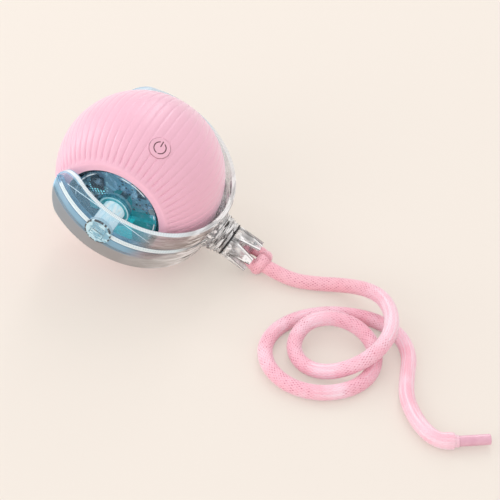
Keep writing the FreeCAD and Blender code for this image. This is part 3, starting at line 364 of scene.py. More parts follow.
def draw_arc(angle, steps, axis=(0, 0, 1), centre=CENTRE):
    """Turns the selected vertex about an axis, anticlockwise seen from its tip.

    With no window open, the operator turns the other way.
    """
    bpy.ops.mesh.spin(steps=steps, angle=-angle, center=centre, axis=axis)


def pick_vertices(obj, wanted):
    """Selects the vertices whose places the test accepts, in edit mode."""
    bpy.ops.mesh.select_all(action="DESELECT")
    mesh = bmesh.from_edit_mesh(obj.data)
    for vertex in mesh.verts:
        vertex.select_set(bool(wanted((vertex.co - CENTRE) / MM)))
    mesh.select_flush_mode()
    bmesh.update_edit_mesh(obj.data)


def close_form(obj):
    """Merges doubled vertices, turns all faces outwards and leaves edit mode."""
    bpy.ops.mesh.select_all(action="SELECT")
    bpy.ops.mesh.remove_doubles(threshold=0.004 * MM)
    bpy.ops.mesh.normals_make_consistent(inside=False)
    bpy.ops.object.mode_set(mode="OBJECT")
    return obj


def cut_away(obj, cutter):
    """Cuts one mesh out of another and deletes the cutter."""
    deselect()
    obj.select_set(True)
    bpy.context.view_layer.objects.active = obj
    cut = obj.modifiers.new("cut", "BOOLEAN")
    cut.operation, cut.object, cut.solver = "DIFFERENCE", cutter, "MANIFOLD"
    bpy.ops.object.modifier_apply(modifier=cut.name)
    bpy.data.objects.remove(cutter)


def smooth(obj, angle):
    deselect()
    obj.select_set(True)
    bpy.context.view_layer.objects.active = obj
    bpy.ops.object.shade_smooth_by_angle(angle=math.radians(angle))


def spline_points(name, points, spacing):
    """The middle line of a route, in millimetres, read from its spline at even steps."""
    curve = bpy.data.curves.new(name, "CURVE")
    curve.dimensions = "3D"
    curve.resolution_u = 40
    spline = curve.splines.new("NURBS")
    spline.points.add(len(points) - 1)
    for point, place in zip(spline.points, points):
        point.co = (*(Vector(place) * MM), 1)
    spline.order_u = 3
    spline.use_endpoint_u = True
    obj = bpy.data.objects.new(name, curve)
    bpy.context.scene.collection.objects.link(obj)
    bpy.context.view_layer.update()
    line = bpy.data.meshes.new_from_object(obj)
    place = np.array([v.co for v in line.vertices], float) / MM
    bpy.data.objects.remove(obj)
    bpy.data.meshes.remove(line)
    run = np.concatenate([[0], np.cumsum(np.linalg.norm(np.diff(place, axis=0), axis=1))])
    even = np.linspace(0, run[-1], int(round(run[-1] / spacing)) + 1)
    return np.stack([np.interp(even, run, place[:, k]) for k in range(3)], axis=1)


def tube_round(name, line, radius, sides, strands, pitch, relief, up=(0, 0, 1)):
    """A closed braided tube along a line of points, all in millimetres.

    The radius is one number for each point. The braid is in the shape and in the piece's own UV
    map, which counts strands round the tube and crossings along it.
    """
    step = np.linalg.norm(np.diff(line, axis=0), axis=1)
    run = np.concatenate([[0], np.cumsum(step)])
    ahead = np.gradient(line, axis=0)
    ahead /= np.linalg.norm(ahead, axis=1)[:, None]
    side = np.zeros_like(line)
    first = np.cross(up, ahead[0])
    side[0] = first / np.linalg.norm(first)
    for k in range(1, len(line)):
        carried = side[k - 1] - ahead[k] * (side[k - 1] @ ahead[k])
        side[k] = carried / np.linalg.norm(carried)
    other = np.cross(ahead, side)
    turn = np.arange(sides) / sides * 2 * math.pi
    around = np.arange(sides) / sides * strands
    count = run / pitch
    left, right = around[None] + count[:, None], around[None] - count[:, None]
    lie = np.abs(np.sin(math.pi * left)) ** 0.6 * np.abs(np.sin(math.pi * right)) ** 0.6
    over = 0.5 + 0.5 * np.sign(np.sin(math.pi * left) * np.sin(math.pi * right)) * lie
    height = relief * (0.75 * lie + 0.25 * over * lie - 0.55)
    reach = radius[:, None] + height
    rings = (line[:, None] + reach[..., None] * (np.cos(turn)[None, :, None] * side[:, None]
                                                 + np.sin(turn)[None, :, None] * other[:, None]))
    rows = len(line)
    verts = np.concatenate([rings.reshape(-1, 3), line[:1], line[-1:]]) * MM
    faces, map_place = [], []
    for k in range(rows - 1):
        for j in range(sides):
            n = (j + 1) % sides
            faces.append((k * sides + j, k * sides + n, (k + 1) * sides + n, (k + 1) * sides + j))
            u0, u1 = j / sides * strands, (j + 1) / sides * strands
            map_place += [(u0, count[k]), (u1, count[k]), (u1, count[k + 1]), (u0, count[k + 1])]
    start, end = rows * sides, rows * sides + 1
    for j in range(sides):
        n = (j + 1) % sides
        u0, u1 = j / sides * strands, (j + 1) / sides * strands
        faces.append((start, n, j))
        map_place += [(u0, count[0]), (u1, count[0]), (u0, count[0])]
        faces.append((end, (rows - 1) * sides + j, (rows - 1) * sides + n))
        map_place += [(u0, count[-1]), (u0, count[-1]), (u1, count[-1])]
    mesh = bpy.data.meshes.new(name)
    mesh.from_pydata(verts.tolist(), [], faces)
    layer = mesh.uv_layers.new(name="Braid")
    layer.data.foreach_set("uv", np.array(map_place, np.float32).ravel())
    mesh.polygons.foreach_set("use_smooth", np.ones(len(faces), bool))
    mesh.update()
    obj = bpy.data.objects.new(name, mesh)
    bpy.context.scene.collection.objects.link(obj)
    return obj


# Finishes

def silicone_finish(colour):
    """Matt silicone with a fine cast skin and a soft sheen; its inside is nearly black, as painted
    shade.
    """
    made = Finish("soft silicone", Roughness=0.36, Sheen_Weight=0.60, Sheen_Roughness=0.4,
                  Sheen_Tint=(0.90, 0.93, 1.0), Specular_IOR_Level=0.5)
    away = made.vector("LENGTH", made.from_centre(), output="Value") / MM
    side = made.along(ALONG_AXLE).absolute()
    # painted shade: the inside of the sleeve, where only shade falls, is painted nearly black
    inside = away.ramp(28.3, 28.0)
    deep, pale = Vector(colour) * 0.97, Vector(colour) * 1.03
    skin = made.mix(made.noise(14, 3), tuple(deep), tuple(pale))
    # painted light: the flat ring round each window is painted lighter, as if more light fell on it
    ring = side.ramp(FACE_Y - 0.35, FACE_Y - 0.05)
    skin = made.mix(ring * 0.6, skin, (0.95, 0.53, 0.66))
    made.set("Base Color", made.mix(inside, skin, (0.012, 0.035, 0.060)))
    made.bump(made.noise(0.35, 3, 0.6), 0.10, 0.05)
    return made


def button_finish(colour):
    """The same silicone on the key, with the symbol's floor and the key's edge darker as painted
    shade.
    """
    made = Finish("button silicone", Roughness=0.44, Sheen_Weight=0.5, Specular_IOR_Level=0.5)
    high = made.along(BUTTON_AIM)
    reach = made.reach(BUTTON_AIM)
    # painted shade: the engraved symbol's floor is painted dark
    engraved = high.band(29.70, 30.08, 0.03) * reach.ramp(2.85, 2.8)
    edge = reach.ramp(3.35, 3.6)
    # painted shade: a darker band round the key's edge, beside the gap round it
    skin = made.mix(edge * 0.35, tuple(Vector(colour) * 0.985), (0.72, 0.36, 0.45))
    made.set("Base Color", made.mix(engraved, skin, (0.17, 0.06, 0.08)))
    made.bump(made.noise(0.35, 3, 0.6), 0.10, 0.05)
    return made


def clear_blue_finish():
    """Clear blue shell: plain head-on, a mirror edge-on, with a painted highlight ring and a
    painted dark ring of shade at its rim, and painted reflection streaks.
    """
    made = Finish("clear blue shell", Roughness=0.05)
    side = made.reach(ALONG_AXLE)
    flat = made.along(ALONG_AXLE).absolute().ramp(19.9, 20.1)
    a, b = made.around(ALONG_AXLE, (1, 0, 0), 2.4)
    broken = made.pattern(a, b, side * 0.15).ramp(0.44, 0.56)
    # painted highlight: a broken light ring near the face's rim
    painted_highlight = side.band(14.9, 15.35, 0.12) * flat * broken
    # painted shade: a dark ring at the face's rim
    dark = side.band(15.9, 17.4, 0.10) * flat
    far_a, far_b = made.around(ALONG_AXLE, (1, 0, 0), 5.0)
    # painted reflection: paler streaks towards the rim, where more of the tinted shader shows
    painted_reflection_streak = (made.pattern(far_a, far_b, side * 0.35, detail=3.0).ramp(0.52, 0.66)
              * side.ramp(6.5, 14.0) * flat)
    colour = made.mix(made.noise(9, 2), (0.26, 0.50, 0.74), (0.42, 0.66, 0.88))
    colour = made.mix(dark, colour, (0.006, 0.020, 0.036))
    colour = made.mix(painted_highlight, colour, (0.90, 0.97, 1.0))
    made.set("Base Color", colour)
    mirror = 0.03 + 0.80 * made.facing() ** 4.0
    made.set("Metallic", (made.facing() ** 3.0 * (1 - (painted_highlight + dark + painted_reflection_streak))).clamped())
    made.see_through(mirror + 0.05 * flat + 0.88 * painted_highlight + 0.80 * dark + 0.40 * painted_reflection_streak,
                     (0.93, 0.985, 1.0, 1))
    return made


def streaks(made, run, round_a, round_b):
    """Painted reflections in thick clear plastic, as light and dark lines: two patterns, for white
    and for black.
    """
    white = made.pattern(run, round_a, round_b, detail=3.0, distortion=0.4).ramp(0.50, 0.60)
    black = made.pattern(run + 7.3, round_a * 1.4, round_b * 1.4, detail=3.0,
                         distortion=0.6).ramp(0.585, 0.65)
    return white, black


def bracket_finish(name, upper):
    """Clear bracket: frosted rim and parting bead, whitened as painted highlight, painted glints
    and shade towards the neck, and painted shade below.
    """
    # the lower half's web glows as painted light
    made = Finish(name, Roughness=0.06, Emission_Strength=0.0 if upper else 0.5)
    up = made.along(BRACKET_UP)
    neck = made.along(ALONG_NECK)
    axle = made.along(ALONG_AXLE)
    out = made.reach(BRACKET_UP)
    arc = neck.math("ARCTAN2", axle.absolute()) * BAND_OUT_R
    hatch = ((arc + up * 0.7) * (2 * math.pi / HATCH_PITCH)).math("SINE") * 0.5 + 0.5
    outside = out.ramp(BAND_OUT_R - 0.35, BAND_OUT_R - 0.2)
    near = neck.ramp(10.0, 19.0)
    chrome = neck.ramp(25.0, 29.5)
    behind = axle.ramp(-12.0, -4.0)

    # The bead and a dark line of painted shade along the parting, and the rounding of the band's
    # two ends, lightened as painted highlight
    from_parting = (up - PARTING_A).absolute()
    bead = from_parting.ramp(1.12, 0.98) * outside * (1 - 0.75 * chrome) * arc.ramp(-22.4, -21.0)
    # painted shade: a dark line beside the parting bead
    line = from_parting.band(1.20, 1.46, 0.08) * outside * (1 - chrome)
    past_aim = (neck * math.cos(END_AIM) + axle.absolute() * math.sin(END_AIM)).ramp(0.4, -0.4)
    ends = [made.reach(IN_BRACKET.to_3x3() @ Vector((-math.sin(END_AIM), y, 0)))
            for y in (-math.cos(END_AIM), math.cos(END_AIM))]
    from_end = ends[0].math("MINIMUM", ends[1])
    # painted highlight: the band's rounded ends are painted paler
    rounding = from_end.ramp(BAND_HALF_W - 0.75, BAND_HALF_W - 0.5) * past_aim
    rim = low = painted_blue_veil = web = 0.0
    if upper:
        # painted highlight: the frosted rim is whitened, as the light in its rounded clear edge
        rim = up.ramp(BAND_HALF_W - 0.62, BAND_HALF_W - 0.42) * (1 - 0.5 * neck.ramp(22.0, 28.0))
        rim = (rim + rounding * up.ramp(1.5, 6.0)).clamped() * out.band(30.95, 32.5, 0.1)
        rim = rim * (1 - 0.55 * behind * neck.ramp(14.0, 6.0))
    else:
        # painted shade: the band's lower part is plain grey; painted light: a blue veil above it,
        # the window seen through
        wall = out.ramp(29.8, 30.2)
        low = up.ramp(-3.4, -5.0) * wall
        painted_blue_veil = up.ramp(-4.6, -2.6) * wall * (1 - near)
        # painted highlight: the web's edge is painted white and glows
        web_edge = (axle.absolute() - WEB_EDGE_Y).band(-0.1, 0.36, 0.04)
        web = (web_edge * up.ramp(0.90, 0.98) * out.ramp(30.4, 30.2)).clamped()
        made.set("Emission Color", made.mix(web, (0, 0, 0), (0.85, 0.95, 1.0)))
    # hatched frosted rim, bead and web, whitened partly as painted highlight
    frost_and_highlight = (rim + bead + web).clamped()

    # Painted shade in clouded grey towards the neck, paler painted light on the far arm, and plain
    # grey painted shade below
    white, black = streaks(made, arc * 0.16, up * 0.9, out * 0.9)
    cloud = made.pattern(arc * 0.06, up * 0.55, 0.0, detail=3.0).ramp(0.40, 0.60)
    below = made.mix(neck.ramp(19.0, 28.0), (0.38, 0.36, 0.35),
                     made.mix(cloud, (0.52, 0.50, 0.48), (0.86, 0.86, 0.86)))
    # smoke: brownish grey painted shade, as the shaded sleeve seen through the band
    smoke = made.mix(up.ramp(-2.0, 2.0), below,
                     made.mix(cloud, (0.36, 0.30, 0.275), (0.54, 0.475, 0.445)))
    # painted light: pale greys on the far arm
    smoke = made.mix(behind, smoke, made.mix(cloud, (0.70, 0.70, 0.70), (0.94, 0.94, 0.94)))
    grey = made.mix(neck.ramp(-28.0, 12.0), (0.255, 0.290, 0.325), (0.35, 0.33, 0.325))
    # painted shade in grey below, and the painted blue of the window above
    colour = made.mix(low, (0.38, 0.68, 0.91), grey)
    colour = made.mix(near, colour, smoke)
    # painted glints, white and black, towards the neck; shade: a painted dark patch on the far arm
    glints = (0.12 + 0.88 * chrome) * near
    shade = behind * up.band(5.2, 9.2, 0.5) * arc.band(33.5, 40.5, 1.2) * outside
    colour = made.mix((black * glints + shade).clamped(), colour, (0.045, 0.038, 0.035))
    colour = made.mix(white * glints, colour, (0.95, 0.95, 0.95))
    colour = made.mix(line, colour, (0.03, 0.09, 0.16))
    # the frosted colour: pale hatched white, partly painted highlight
    frosted = made.mix(behind, made.mix(hatch, (0.64, 0.76, 0.80), (0.88, 0.95, 0.97)),
                       made.mix(hatch, (0.62, 0.62, 0.61), (0.93, 0.93, 0.92)))
    made.set("Base Color", made.mix(frost_and_highlight, colour, frosted))

    inner = out.ramp(30.95, 30.75) * near
    mirror = 0.03 + 0.75 * made.facing() ** 4.0 * (1 - 0.8 * inner)
    painted = (0.84 * frost_and_highlight + 0.50 * line + 0.86 * low + 0.50 * painted_blue_veil + 0.40 * near
               - 0.25 * near * behind + 0.7 * shade + (0.08 if upper else 0.0)
               + 0.40 * rounding * (1 - frost_and_highlight) + (white * 0.8 + black * 0.55) * glints)
    painted = (painted * (1 - 0.85 * inner)).clamped()
    made.set("Metallic", (made.facing() ** 3.0 * (1 - painted * 1.6) * (1 - inner)).clamped())
    made.set("Roughness", 0.05 + 0.30 * (frost_and_highlight + low).clamped())
    made.bump(hatch * frost_and_highlight, 0.5, 0.08)
    made.see_through(mirror + painted, (0.95, 0.975, 0.985, 1))
    return made


def neck_finish():
    """Thick clear plastic of the nut in painted reflections: thread rings in dark lines, broken by
    white glints.
    """
    made = Finish("clear nut", Roughness=0.05, Specular_IOR_Level=0.8)
    run = made.along(ALONG_NECK)
    a, b = made.around(ALONG_NECK, BRACKET_UP, 1.0)
    thread = (((run - NUT_X) / THREAD_PITCH).math("FRACT") - 0.5).absolute()
    broken = made.pattern(run * 0.9, a * 2.2, b * 2.2, detail=3.0).ramp(0.48, 0.58)
    white, black = streaks(made, run * 1.3, a * 1.6, b * 1.6)
    # painted reflections: dark lines in the thread rings, and black glints
    dark = (black + thread.ramp(0.28, 0.40) * broken).clamped()
    # painted reflection: grey and white tones
    tones = made.pattern(run * 0.8, a * 1.3, b * 1.3).ramp(0.40, 0.60)
    colour = made.mix(tones, (0.44, 0.41, 0.40), (0.92, 0.92, 0.92))
    colour = made.mix(white, colour, (0.95, 0.95, 0.95))
    made.set("Base Color", made.mix(dark, colour, (0.035, 0.028, 0.026)))
    made.see_through(0.46 + 0.35 * dark + 0.42 * white + 0.3 * made.facing() ** 3.0,
                     (0.98, 0.985, 0.99, 1))
    return made


def crown_finish():
    """Thick clear plastic of the crown in painted reflections: streaks along the prongs, dark and
    white notch edges.
    """
    made = Finish("clear crown", Roughness=0.05, Specular_IOR_Level=0.8)
    run = made.along(ALONG_NECK)
    a, b = made.around(ALONG_NECK, BRACKET_UP, 1.0)
    across = made.along(BRACKET_UP)
    aside = made.along(ALONG_AXLE)
    turn = aside.math("ARCTAN2", across) * (PRONG_COUNT / (2 * math.pi))
    share = (turn.math("FRACT") - 0.5) * (2 * math.pi / PRONG_COUNT)
    off = (share.math("SINE") * made.reach(ALONG_NECK)).absolute()
    gap = 0.4 + (run - (CAP_END_X - NOTCH_DEPTH)) * (1.5 / (NOTCH_DEPTH + 1.0))
    beside = off - gap
    cut = run.ramp(CAP_END_X - NOTCH_DEPTH - 0.3, CAP_END_X - NOTCH_DEPTH + 0.2)
    outer = made.reach(ALONG_NECK).ramp(5.95, 6.1)
    # painted reflections: dark and white lines at the notch edges, and a dark painted line at the
    # base
    painted_dark_edge = beside.band(0.0, 0.20, 0.05) * cut * outer
    painted_edge_highlight = beside.band(0.32, 0.75, 0.08) * cut
    painted_base_shade = run.band(CAP_X + 1.75, CAP_X + 2.0, 0.08) * 0.4
    white, black = streaks(made, run * 0.22, a * 2.6, b * 2.6)
    light = (white + painted_edge_highlight).clamped()
    dark = (black * 0.8 + painted_dark_edge + painted_base_shade).clamped()
    tones = made.pattern(run * 0.2, a * 2.0, b * 2.0).ramp(0.36, 0.54)
    colour = made.mix(tones, (0.66, 0.63, 0.62), (0.97, 0.97, 0.97))
    colour = made.mix(light, colour, (0.97, 0.97, 0.97))
    made.set("Base Color", made.mix(dark, colour, (0.045, 0.038, 0.036)))
    made.see_through(0.34 + 0.50 * dark + 0.62 * light + 0.25 * made.facing() ** 3.0,
                     (0.98, 0.985, 0.99, 1))
    return made


def pin_finish():
    """Pale blue clear pin: a glowing barrel with painted glints, and a head with painted facets,
    painted dark dashes round its rim, a key ring and slots in painted shade.
    """
    # the barrel glows as painted light, though the pin is no lamp
    made = Finish("clear pin", Roughness=0.06, Specular_IOR_Level=0.9, Emission_Strength=0.26)
    axle = made.along(ALONG_AXLE)
    run = made.along(ALONG_NECK)
    up = made.along(BRACKET_UP)
    side = made.reach(ALONG_AXLE)
    a, b = made.around(ALONG_AXLE, ALONG_NECK, 1.0)
    face = axle.absolute().ramp(PIN_FACE_Y - 0.15, PIN_FACE_Y - 0.05)
    barrel = axle.absolute().ramp(PIN_FACE_Y - 1.8, PIN_FACE_Y - 2.0)
    # painted reflection: dark lines along the barrel's sides, where it is seen edge-on
    painted_side_line = made.facing().band(0.80, 0.90, 0.03) * barrel
    floor = (axle.absolute().band(PIN_FACE_Y - 0.62, PIN_FACE_Y - 0.40, 0.04)
             * side.ramp(4.2, 4.1))
    # painted shade: the key's slots are painted nearly black
    slot = floor * up.absolute().ramp(0.5, 0.4) * run.absolute().ramp(2.3, 2.2)
    # painted reflection: dark dashes round the head's rim
    dashes = made.pattern(a * 5.0, b * 5.0, 0.0).ramp(0.40, 0.50)
    rim = side.band(4.42, 4.95, 0.08) * axle.absolute().ramp(PIN_FACE_Y - 0.7, PIN_FACE_Y - 0.6)
    # painted glints: white lines along the barrel
    white = streaks(made, axle * 0.12, a * 1.5, b * 1.5)[0]
    # painted reflection: light and dark facets over the head's face
    facet = made.pattern(run * 0.35, up * 0.5, axle * 0.1, detail=1.0).ramp(0.42, 0.60)
    tones = made.pattern(a * 1.2, b * 1.2, axle * 0.1).ramp(0.40, 0.60)
    colour = made.mix(tones, (0.60, 0.86, 0.94), (0.88, 0.98, 1.0))
    colour = made.mix(white * 0.4, colour, (0.96, 0.98, 0.99))
    colour = made.mix(face, colour, made.mix(facet, (0.21, 0.43, 0.56), (0.52, 0.75, 0.84)))
    colour = made.mix(rim * dashes, colour, (0.045, 0.050, 0.055))
    colour = made.mix(floor, colour, (0.34, 0.58, 0.68))
    colour = made.mix(painted_side_line, colour, (0.10, 0.34, 0.46))
    colour = made.mix(slot, colour, (0.012, 0.030, 0.040))
    made.set("Base Color", colour)
    made.set("Emission Color", made.mix(barrel, (0, 0, 0), colour))
    made.see_through(0.86 + 0.14 * white + 0.10 * face + 0.2 * rim * dashes + 0.2 * slot
                     + 0.2 * made.facing() ** 3.0, (0.80, 0.92, 0.96, 1))
    return made


def bearing_finish():
    """Blue clear bearing: teal in its bore, paler and glossier on the flange's edge, with a painted
    highlight.
    """
    made = Finish("clear bearing", Roughness=0.06, Specular_IOR_Level=0.9)
    side = made.reach(ALONG_AXLE)
    a, b = made.around(ALONG_AXLE, (1, 0, 0), 1.0)
    edge = side.band(5.2, 5.65, 0.12)
    painted_highlight = made.pattern(a * 1.4, b * 1.4, 0.0).ramp(0.46, 0.58)
    colour = made.mix(side.ramp(4.3, 5.4), (0.02, 0.46, 0.52), (0.22, 0.66, 0.76))
    # painted highlight: a broken pale ring on the flange's edge
    colour = made.mix((edge * (0.35 + 0.65 * painted_highlight)).clamped(), colour, (0.80, 0.94, 0.97))
    made.set("Base Color", colour)
    made.see_through((0.50 + 0.40 * edge) * side.ramp(5.95, 5.75) + 0.02
                     + 0.4 * made.facing() ** 3.0, (0.70, 0.90, 0.94, 1))
    return made


def plastic_finish(name, dark, pale, roughness, grain=0.4, spots=8.0):
    """Moulded plastic with uneven colour and a fine grain."""
    made = Finish(name, Roughness=roughness)
    made.set("Base Color", made.mix(made.noise(spots, 3), dark, pale))
    made.bump(made.noise(grain, 2), 0.15, 0.05)
    return made


def metal_finish(name, dark, pale, roughness):
    """Turned or drawn metal, brushed round the axle."""
    made = Finish(name, Metallic=1.0)
    brushed = made.noise(2.5, 3, at=made.vector("MULTIPLY", made.place(), (1, 0.08, 1)))
    made.set("Base Color", made.mix(brushed, dark, pale))
    made.set("Roughness", roughness + 0.15 * brushed)
    return made


def board_finish():
    """Slate-blue board: copper runs, rows of small square holes, a grid lit as painted light, a
    darker mottled side and a dark stroke.
    """
    made = Finish("slate board", Roughness=0.35, Coat_Weight=0.4, Coat_Roughness=0.2,
                  Emission_Strength=0.80)
    x, z = made.along((1, 0, 0)), made.along((0, 0, 1))
    across, down = x / HOLE_PITCH, z / HOLE_PITCH
    which = made.node("ShaderNodeCombineXYZ", {}, [across.math("FLOOR"), 0.0, down.math("FLOOR")])
    cell = made.node("ShaderNodeTexWhiteNoise", {"noise_dimensions": "3D"}, [which], "Value")
    dots = (down.math("FRACT").band(0.20, 0.82, 0.04)
            * across.math("FRACT").band(0.20, 0.84, 0.04))
    runs = made.node("ShaderNodeTexVoronoi", {"distance": "MANHATTAN"},
                     {"Vector": made.place(), "Scale": 1 / (4.5 * MM)}, "Distance")
    # darker and mottled towards the board's left side
    dark_side = (made.pattern(x * 0.45, z * 0.45, 0.0, detail=4.0).ramp(0.46, 0.58)
                 * x.ramp(-5.0, -9.5))
    base = made.mix(made.noise(6, 3), (0.095, 0.175, 0.285), (0.200, 0.340, 0.520))
    base = made.mix(runs.ramp(0.55, 0.60) * 0.5, base, (0.26, 0.56, 0.70))
    base = made.mix(dark_side, base, (0.010, 0.016, 0.024))
    teal = (z + 0.15 * x).ramp(-0.9, -1.4) * x.ramp(-3.0, -1.5)
    base = made.mix(teal, base, (0.010, 0.42, 0.48))
    wedge = (0.55 * x + 0.835 * z).band(0.55, 1.8, 0.1) * x.band(-6.0, -1.4, 0.2)
    base = made.mix(wedge, base, (0.36, 0.66, 0.84))
    holes = dots * cell.ramp(0.60, 0.62) * x.ramp(-2.0, 0.0)
    base = made.mix(holes, base, (0.008, 0.014, 0.020))
    base = made.mix(dots * cell.ramp(0.13, 0.11), base, (0.50, 0.84, 0.94))
    grid = x.band(-12.4, -6.4, 0.3) * z.band(-0.2, 4.4, 0.3)
    bars = ((x * 0.85 + z * 0.35).math("FRACT").band(0.24, 0.80, 0.06)
            * (z * 1.05 - x * 0.30).math("FRACT").band(0.24, 0.80, 0.06))
    # painted light: lit colours for the grid's bars
    lit = made.mix(made.pattern(x * 0.5, z * 0.5, 0.0).ramp(0.42, 0.56), (0.20, 0.46, 0.62),
                   (0.30, 0.95, 1.0))
    base = made.mix(grid, base, made.mix(bars, (0.010, 0.018, 0.026), lit))
    stroke = (0.34 * x + z).band(-2.75, -1.95, 0.1) * x.band(-6.5, 2.2, 0.3)
    base = made.mix(stroke, base, (0.008, 0.012, 0.016))
    made.set("Base Color", base)
    # painted light: the grid's lit bars glow, though the board is no lamp
    made.set("Emission Color", made.mix(grid * bars, (0, 0, 0), lit))
    made.bump(runs - dots * 0.3, 0.2, 0.1)
    return made


def frame_finish():
    """Moulded frame inside the ball: smoke blue above, and teal round the battery, glowing as
    painted light.
    """
    made = Finish("smoke-blue frame", Roughness=0.35, Emission_Strength=0.20)
    low = made.along((0, 0, 1)).ramp(-2.6, -3.6)
    above = made.mix(made.noise(8, 3), (0.18, 0.44, 0.60), (0.34, 0.66, 0.80))
    below = made.mix(made.noise(3, 3), (0.012, 0.42, 0.46), (0.03, 0.66, 0.70))
    made.set("Base Color", made.mix(low, above, below))
    # painted light: the teal part glows, though the frame is no lamp
    made.set("Emission Color", made.mix(low, (0, 0, 0), below))
    made.bump(made.noise(0.4, 2), 0.15, 0.05)
    return made


def battery_finish():
    """Teal shrink wrap: a fine crinkle, a darker label end, and a glow of painted light."""
    made = Finish("teal battery wrap", Roughness=0.32, Coat_Weight=0.4, Coat_Roughness=0.1,
                  Emission_Strength=0.30)
    x = made.along((1, 0, 0))
    wrap = made.mix(made.noise(5, 3), (0.008, 0.66, 0.70), (0.020, 0.92, 0.94))
    wrap = made.mix(x.ramp(3.6, 3.9), wrap, (0.004, 0.34, 0.34))
    made.set("Base Color", wrap)
    # painted light: the wrap glows, though it is no lamp
    made.set("Emission Color", wrap)
    made.bump(made.noise(1.2, 3), 0.25, 0.1)
    return made


def braid_finish(settings):
    """Braided yarn: crossing strands with fine threads lightened as painted highlights, and pits of
    uneven strength darkened as painted shade.
    """
    made = Finish("braided yarn", Roughness=0.7, Sheen_Weight=1.0, Sheen_Roughness=0.35,
                  Sheen_Tint=(1.0, 0.95, 0.98), Specular_IOR_Level=0.3)
    weave = made.node("ShaderNodeUVMap", {"uv_map": "Braid"})
    around = made.node("ShaderNodeSeparateXYZ", {}, [weave], "X")
    run = made.node("ShaderNodeSeparateXYZ", {}, [weave], "Y")
    left = ((around + run) * math.pi).math("SINE")
    right = ((around - run) * math.pi).math("SINE")
    pit = (left.absolute() + right.absolute()).ramp(1.20, 0.65)
    crossing = left * right
    end = run.ramp(158.0, 172.0)
    strong = made.noise(1.5, 1).ramp(0.48, 0.60) * (1 - end)
    angle = around * (2 * math.pi / settings.strands)
    lengthwise = made.pattern(angle.math("COSINE") * 4.4, angle.math("SINE") * 4.4, run * 0.07,
                              detail=3.0).ramp(0.50, 0.64)
    smooth_part = (made.noise(17, 1).ramp(0.50, 0.58) * run.ramp(24.0, 30.0)
                   + run.band(28.0, 42.0, 4.0) + end).clamped()
    threads = (((around + run) * 13).math("SINE") * crossing.ramp(-0.05, 0.05)
               + ((around - run) * 13).math("SINE") * crossing.ramp(0.05, -0.05)) * 0.5 + 0.5
    yarn = Vector(settings.colour)
    deep = (yarn.x * 0.97, yarn.y * 0.74, yarn.z * 0.78)
    colour = made.mix(made.noise(13, 2).ramp(0.40, 0.60), tuple(yarn), deep)
    # painted highlight: the fine threads are lightened towards white
    colour = made.mix(threads.ramp(0.3, 1.0) * 0.50, colour, (0.97, 0.80, 0.87))
    colour = made.mix(run.ramp(30.0, 18.0) * 0.6, colour, (0.93, 0.47, 0.53))
    colour = made.mix(lengthwise * smooth_part * 0.50, colour, (0.95, 0.82, 0.90))
    # painted shade: the pits between the strands are darkened, unevenly
    pits = (0.30 + 0.70 * strong) * pit * (1 - 0.7 * smooth_part)
    made.set("Base Color", made.mix(pits, colour, tuple(settings.pit_shade_colour)))
    made.bump(threads * 0.35 + (1 - pit), 0.45, 0.12)
    return made


# Pieces

